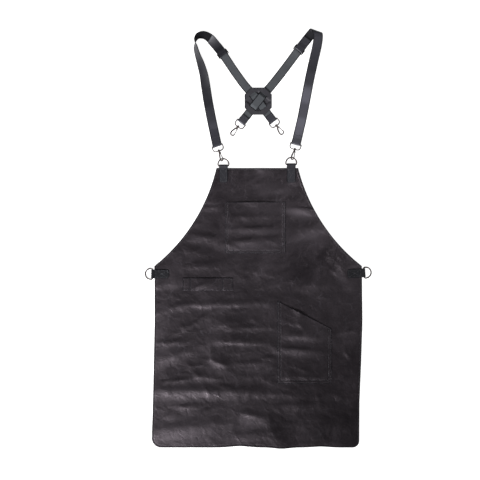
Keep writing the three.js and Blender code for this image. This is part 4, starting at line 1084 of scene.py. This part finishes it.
def makeSlider(name, strap):
    wire, corner = sliderShape["bar"] / 2, sliderShape["corner"]
    halfWidth = sliderShape["inside"] / 2 + wire
    right, top, low = halfWidth - corner, sliderShape["upper"] - corner, corner - sliderShape["lower"]
    path = []
    for cx, cy, start in ((right, low, -90), (right, top, 0), (-right, top, 90), (-right, low, 180)):
        path += arc(cx, cy, corner, start, start + 90, sliderShape["cornerSteps"])
    bar = [(x, 0) for x in np.linspace(-halfWidth, halfWidth, sliderShape["barSteps"])]
    line = backLine(strap)
    flatter = Matrix.Diagonal((1, 1, sliderShape["pressed"], 1))     # the wire is pressed flat
    place = Matrix.Translation(line.slider) @ headingOf(-line.ahead) @ flatter
    shells = [wireShell(path, wire, closed=True, sides=12),
              wireShell(bar, wire * sliderShape["midBar"], closed=False, sides=12)]
    return makeMetalPiece(name, shells, place, shadedNickel)


for side, strap in backStraps.items():
    attach(makeSlider("slider" + side.title(), strap), "apron", "nickel", "slider_" + side)


# Swivel snap hooks, in their own frame: strap bar on X, axis along +Y

bowRows = [(0, 21, 2.2), (2.9, 26.5, 2.1), (4.9, 33, 2.0), (6.1, 39.8, 1.9), (5.0, 44.8, 1.8), (0, 47.3, 1.75),
           (-4.9, 44.9, 1.65), (-6.0, 41.5, 1.55), (-5.7, 38.9, 1.45)]   # x, y, wire
bowSteps = 46
# radius and distance from the loop's far side
bossRows = [(1.65, -2.6), (2.7, -2.6), (3.0, -2.2), (3.0, 2.2), (2.7, 2.6), (1.65, 2.6)]
postRows = [(0.02, 12.8), (1.9, 12.85), (2.4, 13.2), (2.4, 14.0), (1.3, 14.2), (1.3, 19.7), (2.5, 19.8),
            (2.9, 20.3), (2.9, 21.8), (2.3, 22.6), (0.02, 22.7)]         # radius, y
gateShape = {"pivot": (-3.0, 24.6), "end": (-5.5, 38.2), "wire": 1.15, "eye": 2.0, "eyeHeight": 2.4,
             "cheek": 1.0, "cheekGap": 0.3, "cheekFrom": (0.4, 22.4), "armFrom": 1.6, "armStart": 1.0,
             "pin": 0.85, "pinHead": 0.6, "pinTip": 0.02, "pinDome": 0.1}
eyeRows = [(1.1, -1, 0), (1.8, -1, 0), (2.0, -1, 0.25), (2.0, 1, 0.25), (1.8, 1, 0), (1.1, 1, 0),
           (1.1, -1, 0)]     # radius, side, distance in from it


def curvedBends(corners, count):
    # a curve for each corner, given by where it starts, the corner and where it ends
    path = []
    for start, corner, end in np.array(corners, float):
        for t in np.linspace(0, 1, count):
            path.append((1 - t) ** 2 * start + 2 * t * (1 - t) * corner + t ** 2 * end)
    return path


def makeSwivelLoop(name, bar, place):
    bend, shoulder, depth, far = (loopShape[key] for key in ("bend", "shoulder", "depth", "farHalf"))
    path = curvedBends([
        ((bar - bend, 0), (bar, 0), (bar, bend)), ((bar, shoulder), (bar, depth), (far, depth)),
        ((-far, depth), (-bar, depth), (-bar, shoulder)), ((-bar, bend), (-bar, 0), (-bar + bend, 0)),
    ], loopShape["bendSteps"])
    boss = turnedShell([(radius, depth + y) for radius, y in bossRows])
    return makeMetalPiece(name, [wireShell(path, loopShape["wire"], closed=True), boss], place)


def makeHook(name, place):
    rows = throughPoints(bowRows, bowSteps)
    shells = [turnedShell(postRows), wireShell(rows[:, :2], rows[:, 2], closed=False)]
    pivot, start, eye = np.array(gateShape["pivot"]), np.array(gateShape["cheekFrom"]), gateShape["eye"]
    level = gateShape["eyeHeight"] / 2 + gateShape["cheekGap"] + gateShape["cheek"] / 2
    halfway = (pivot[0] / 2, (start[1] + pivot[1]) / 2)
    cloud, *rest = wireShell([start, halfway, pivot], eye, closed=False, sides=12)
    for side in (-1, 1):   # two cheeks hold the gate's pin
        cheek = cloud.copy()
        cheek[:, 2] = cloud[:, 2] / eye * gateShape["cheek"] / 2 + side * level
        shells.append((cheek, *rest))
    head = level + gateShape["pinHead"]
    top, wide, narrow = head + gateShape["pinDome"], gateShape["pin"], gateShape["pinTip"]
    pin = [(narrow, -top), (wide, -head), (wide, head), (narrow, top)]
    shells.append(uprightAt(turnedShell(pin, sides=12), *pivot))
    return makeMetalPiece(name, shells, place)


def makeGate(name, place):
    pivot, end = np.array(gateShape["pivot"]), np.array(gateShape["end"])
    start, wire = pivot + unit(end - pivot) * gateShape["armFrom"], gateShape["wire"]
    arm = wireShell([start, (start + end) / 2, end], [gateShape["armStart"], wire, wire], closed=False, sides=12)
    high = gateShape["eyeHeight"] / 2
    eye = turnedShell([(radius, side * (high - inset)) for radius, side, inset in eyeRows], sides=18)
    return makeMetalPiece(name, [arm, uprightAt(eye, *pivot)], place)


def makeSnapHook(where, bar, ahead, barHalf, pitch, tilt, hookBody):
    title = where.title().replace("_", "")
    axis = Matrix.Translation(bar) @ headingOf(ahead) @ rotation(pitch, "X")
    swivel = axis @ rotation(tilt, "Y")
    attach(makeSwivelLoop("swivelLoop" + title, barHalf, axis), "apron", "nickel", "swivel_loop_" + where)
    attach(makeHook("snapHook" + title, swivel), hookBody, "nickel", "snap_hook_" + where)
    attach(makeGate("hookGate" + title, swivel), "gate_" + where, "nickel", "hook_gate_" + where)


otherSide = {"left": "right", "right": "left"}      # each back strap crosses to the other side
for side, strap in backStraps.items():
    line, other = backLine(strap), otherSide[side]
    makeSnapHook("back_" + other, line.bar, line.ahead, hookShape["backBar"], hookShape["backPitch"],
                 hookShape["backTilt"], "hook_" + other)
for side, strap in shoulderStraps.items():
    bar, ahead = frontHook(strap)
    makeSnapHook("front_" + side, bar, ahead, hookShape["frontBar"], hookShape["frontPitch"],
                 hookShape["frontTilt"], "apron")
print("rings, sliders and hooks made")


# Stitches: one small thread on each step of a sewn line

stitch = {"pitch": 2.5, "length": 2.6, "thick": 0.85, "tack": 1.1, "shortest": 0.88, "longest": 1.1, "seed": 7,
          "sunk": 0.15, "step": 2.0, "overlap": 1.2}
rimSeam = {"cuts": 300, "fromHem": 0.2, "step": 1.5, "strayed": 0.3, "inGroove": 0.4}
tabSeam = {"sides": 3.2, "low": 3.4, "high": 4.0}
strapSeam = {"sides": 3.0, "backFrom": 17.5, "backLift": 0.25}
cornerTack = {"outer": 3.0, "inner": 3.4, "mouth": 1.5, "loop": 0.6}
stitchInputs = [("Geometry", "NodeSocketGeometry"), ("Pitch", "NodeSocketFloat"), ("Length", "NodeSocketFloat"),
                ("Thick", "NodeSocketFloat"), ("Seed", "NodeSocketInt"), ("Thread", "NodeSocketMaterial")]


def makeStitchTree():
    tree = bpy.data.node_groups.new("sewnLine", "GeometryNodeTree")
    for name, kind in stitchInputs:
        tree.interface.new_socket(name, in_out="INPUT", socket_type=kind)
    tree.interface.new_socket("Geometry", in_out="OUTPUT", socket_type="NodeSocketGeometry")
    given = addNode(tree, "NodeGroupInput").outputs
    line = addNode(tree, "GeometryNodeMeshToCurve", {"Mesh": given["Geometry"]})
    steps = addNode(tree, "GeometryNodeResampleCurve", {"Curve": line.outputs[0], "Length": given["Pitch"]},
                    mode="LENGTH")
    thread = addNode(tree, "GeometryNodeMeshUVSphere", {"Segments": 6, "Rings": 5, "Radius": 0.5})
    tangent = addNode(tree, "GeometryNodeInputTangent")
    way = addNode(tree, "FunctionNodeAlignRotationToVector", {"Vector": tangent.outputs[0]}, axis="X")
    size = addNode(tree, "ShaderNodeCombineXYZ", {"X": given["Length"], "Y": given["Thick"], "Z": given["Thick"]})
    shares = {2: stitch["shortest"], 3: stitch["longest"], "Seed": given["Seed"]}    # 2 is least, 3 is most
    vary = addNode(tree, "FunctionNodeRandomValue", shares, data_type="FLOAT")
    scaled = addNode(tree, "ShaderNodeVectorMath", {0: size.outputs[0], "Scale": vary.outputs[1]},
                     operation="SCALE")
    laid = addNode(tree, "GeometryNodeInstanceOnPoints", {
        "Points": steps.outputs[0], "Instance": thread.outputs[0], "Rotation": way.outputs[0],
        "Scale": scaled.outputs[0]})
    real = addNode(tree, "GeometryNodeRealizeInstances", {"Geometry": laid.outputs[0]})
    shaded = addNode(tree, "GeometryNodeSetShadeSmooth", {"Geometry": real.outputs[0]})
    dyed = addNode(tree, "GeometryNodeSetMaterial", {"Geometry": shaded.outputs[0], "Material": given["Thread"]})
    addNode(tree, "NodeGroupOutput", {0: dyed.outputs[0]})
    return tree


def sewnRow(corners, step=stitch["step"]):
    # evenly cut line between the given corners
    corners = np.asarray(corners, float)
    length = np.concatenate([[0], np.cumsum(np.linalg.norm(np.diff(corners, axis=0), axis=1))])
    t = np.linspace(0, length[-1], max(3, round(length[-1] / step)))
    return np.stack([np.interp(t, length, column) for column in corners.T], 1)


def onSewnLeather(corners, thick, lift, sunk=stitch["sunk"]):
    x, y = sewnRow(corners).T
    return np.stack([x, y, panelTop(x, y) + sewnGap + thick + lift(x, y) - sunk], 1)


def panelRow():
    heights = np.linspace(hide["hem"] + rimSeam["fromHem"], hide["bibTop"], rimSeam["cuts"])
    left, right = (np.stack([panelEdge(heights, side), heights], 1) for side in (-1, 1))
    outline = sewnRow(np.concatenate([left, right[::-1], left[:1]]), rimSeam["step"])
    way = unit(np.gradient(outline, axis=0))
    inner = outline + np.stack([way[:, 1], -way[:, 0]], 1) * hide["seam"]
    # the part of the inner line that keeps its distance from the outline
    keep = [np.linalg.norm(outline - point, axis=1).min() > hide["seam"] - rimSeam["strayed"] for point in inner]
    x, y = inner[np.array(keep)].T
    y = hemWave(x, y)
    return np.stack([x, y, panelTop(x, y) - hide["seamDepth"] * rimSeam["inGroove"]], 1)


def pocketRows(pocket):
    rows = []
    for seam in pocket["seams"]:
        left, right, bottom = pocket["left"] + seam, pocket["right"] - seam, pocket["bottom"] + seam
        topLeft, topRight = (mouthHeight(pocket, x) - cornerTack["mouth"] for x in (left, right))
        rows.append(onSewnLeather([(left, topLeft), (left, bottom), (right, bottom), (right, topRight)],
                                  pocketShape["thick"], lambda x, y: pocketLift(pocket, x, y)))
    return rows


def pocketTacks(pocket):
    # short rows that hold the mouth's corners
    rows = []
    for edge, into, y in ((pocket["left"], 1, pocket["topLeft"]), (pocket["right"], -1, pocket["topRight"])):
        outer, inner = (edge + into * seam for seam in pocket["seams"])
        rows.append(onSewnLeather([(outer, y - cornerTack["outer"]), (inner, y - cornerTack["inner"])],
                                  pocketShape["thick"], lambda x, y: pocketLift(pocket, x, y), sunk=0))
    return rows


def loopRows():
    seam = toolLoop["seam"]
    low, high = toolLoop["low"] + seam, toolLoop["high"] - seam
    boxes = ((toolLoop["left"] + seam, loopFrom - cornerTack["loop"]),
             (toolLoop["right"] - seam, loopTo + cornerTack["loop"]))
    return [onSewnLeather([(inner, low), (outer, low), (outer, high), (inner, high), (inner, low)],
                          toolLoop["thick"], loopLift) for outer, inner in boxes]


def tabRows(tab):
    # a box with a cross in it
    half, low = tabShape["width"] / 2 - tabSeam["sides"], tabSeam["low"] - tabShape["frontLeg"]
    high, top = -tabSeam["high"], seatHeight + hide["thick"] + sewnGap + tabShape["thick"]
    box = [(-half, low), (half, low), (half, high), (-half, high), (-half, low)]
    lines = [box, [(-half, low), (half, high)], [(half, low), (-half, high)]]
    return [placed(tabPlace(tab), [(x, y, top) for x, y in sewnRow(line)]) for line in lines]


def strapEndRows(bar, ahead, width, places):
    # rows across a folded strap end, each at a distance from the bar and a height
    reach = np.array([-ahead[1], ahead[0]]) * (width / 2 - strapSeam["sides"])
    rows = []
    for distance, height in places:
        middle = (bar - ahead * distance)[:2]
        rows.append(np.array([(x, y, height) for x, y in sewnRow([middle - reach, middle + reach])]))
    return rows


def makeStitches(name, rows, pitch, thread):
    points, edges = [], []
    for row in rows:
        edges += [(len(points) + k, len(points) + k + 1) for k in range(len(row) - 1)]
        points += list(row)
    mesh = bpy.data.meshes.new(name)
    mesh.from_pydata(toFrame(points).tolist(), edges, [])
    piece = addObject(name, mesh)
    sew = piece.modifiers.new("sew", "NODES")
    sew.node_group = stitchTree
    shorter = min(1, pitch / stitch["pitch"] * stitch["overlap"])
    settings = {"Pitch": pitch / 1000, "Length": stitch["length"] / 1000 * shorter,
                "Thick": stitch["thick"] / 1000, "Seed": stitch["seed"], "Thread": thread}
    for socket in stitchTree.interface.items_tree:
        if socket.in_out == "INPUT" and socket.name in settings:
            sew[socket.identifier] = settings[socket.name]
    sewn = meshOf(piece)
    piece.modifiers.remove(sew)
    piece.data = sewn
    sewn.name = name
    return piece


stitchTree = makeStitchTree()
rows, tacks = [panelRow()], []
for pocket in pockets.values():
    rows += pocketRows(pocket)
    tacks += pocketTacks(pocket)
for tab in tabs.values():
    rows += tabRows(tab)
backTop = backShape["thick"] * 2 + layGap + strapSeam["backLift"]
for strap in backStraps.values():
    line = backLine(strap)
    rows += strapEndRows(line.bar, line.ahead, backShape["width"], [(strapSeam["backFrom"], backTop)])
for strap in shoulderStraps.values():
    bar, lead = shoulderLead(strap)
    rows += strapEndRows(bar, -lead, shoulderShape["width"], shoulderShape["sewn"])
faces = 0
for name, lines, pitch, thread in (("seamThreads", rows, stitch["pitch"], seamThread),
                                   ("loopThreads", loopRows(), stitch["pitch"], threadForShadedTacks),
                                   ("cornerTacks", tacks, stitch["tack"], seamThread)):
    piece = attach(makeStitches(name, lines, pitch, thread), "apron", "strap_leather")
    faces += len(piece.data.polygons)
print("stitches sewn,", faces, "faces")


# Floor, light and camera, in metres; only lookX and lookY are on the cutting plan

studio = {"frameWidth": 1.3853, "lookX": -53.8, "lookY": -4.2, "height": 3.4, "sensor": 36.0, "floor": 60.0,
          "floorZ": -0.0004, "floorGlow": 0.94, "world": 0.14}
lights = {
    "keyLight": {"power": 25.0, "place": (-1.25, -1.75, 1.45), "aim": (-0.25, 0.6, 0), "size": 1.3, "spread": 60.0},
    "fillLight": {"power": 0.5, "place": (1.15, 0.55, 1.9), "aim": (0.24, 0.3, 0), "size": 0.8, "spread": 26.0},
}


def makeFloor():
    half, z = studio["floor"] / 2, studio["floorZ"]
    corners = [(-half, -half, z), (half, -half, z), (half, half, z), (-half, half, z)]
    mesh = bpy.data.meshes.new("studioFloor")
    mesh.from_pydata(corners, [], [range(4)])
    material, tree, shader = startMaterial("paperFloor")
    fill(tree, shader, {"Base Color": (0.5, 0.5, 0.5, 1), "Roughness": 1.0, "Specular IOR Level": 0.0,
                        "Emission Color": (1, 1, 1, 1), "Emission Strength": studio["floorGlow"]})
    mesh.materials.append(material)
    addObject("studioFloor", mesh)


def makeLight(name, lamp):
    light = bpy.data.lights.new(name, "AREA")
    light.shape, light.size, light.energy = "DISK", lamp["size"], lamp["power"]
    light.spread = math.radians(lamp["spread"])
    stand = addObject(name, light)
    stand.location = lamp["place"]
    stand.rotation_euler = (Vector(lamp["aim"]) - Vector(lamp["place"])).to_track_quat("-Z", "Y").to_euler()


def makeCamera():
    view = bpy.data.cameras.new("photoView")
    view.sensor_fit, view.sensor_width = "HORIZONTAL", studio["sensor"]
    view.lens = studio["sensor"] * studio["height"] / studio["frameWidth"]
    scene.camera = addObject("photoView", view)
    x, y, _ = toFrame([studio["lookX"], studio["lookY"], 0])
    scene.camera.location = (x, y, studio["height"])


makeFloor()
for name, lamp in lights.items():
    makeLight(name, lamp)
scene.world = bpy.data.worlds.new("softRoom")
scene.world.use_nodes = True
room = scene.world.node_tree.nodes["Background"]
fill(scene.world.node_tree, room, {"Color": (1, 1, 1, 1), "Strength": studio["world"]})
scene.view_settings.view_transform = "Standard"
makeCamera()
print("floor, light and camera set")
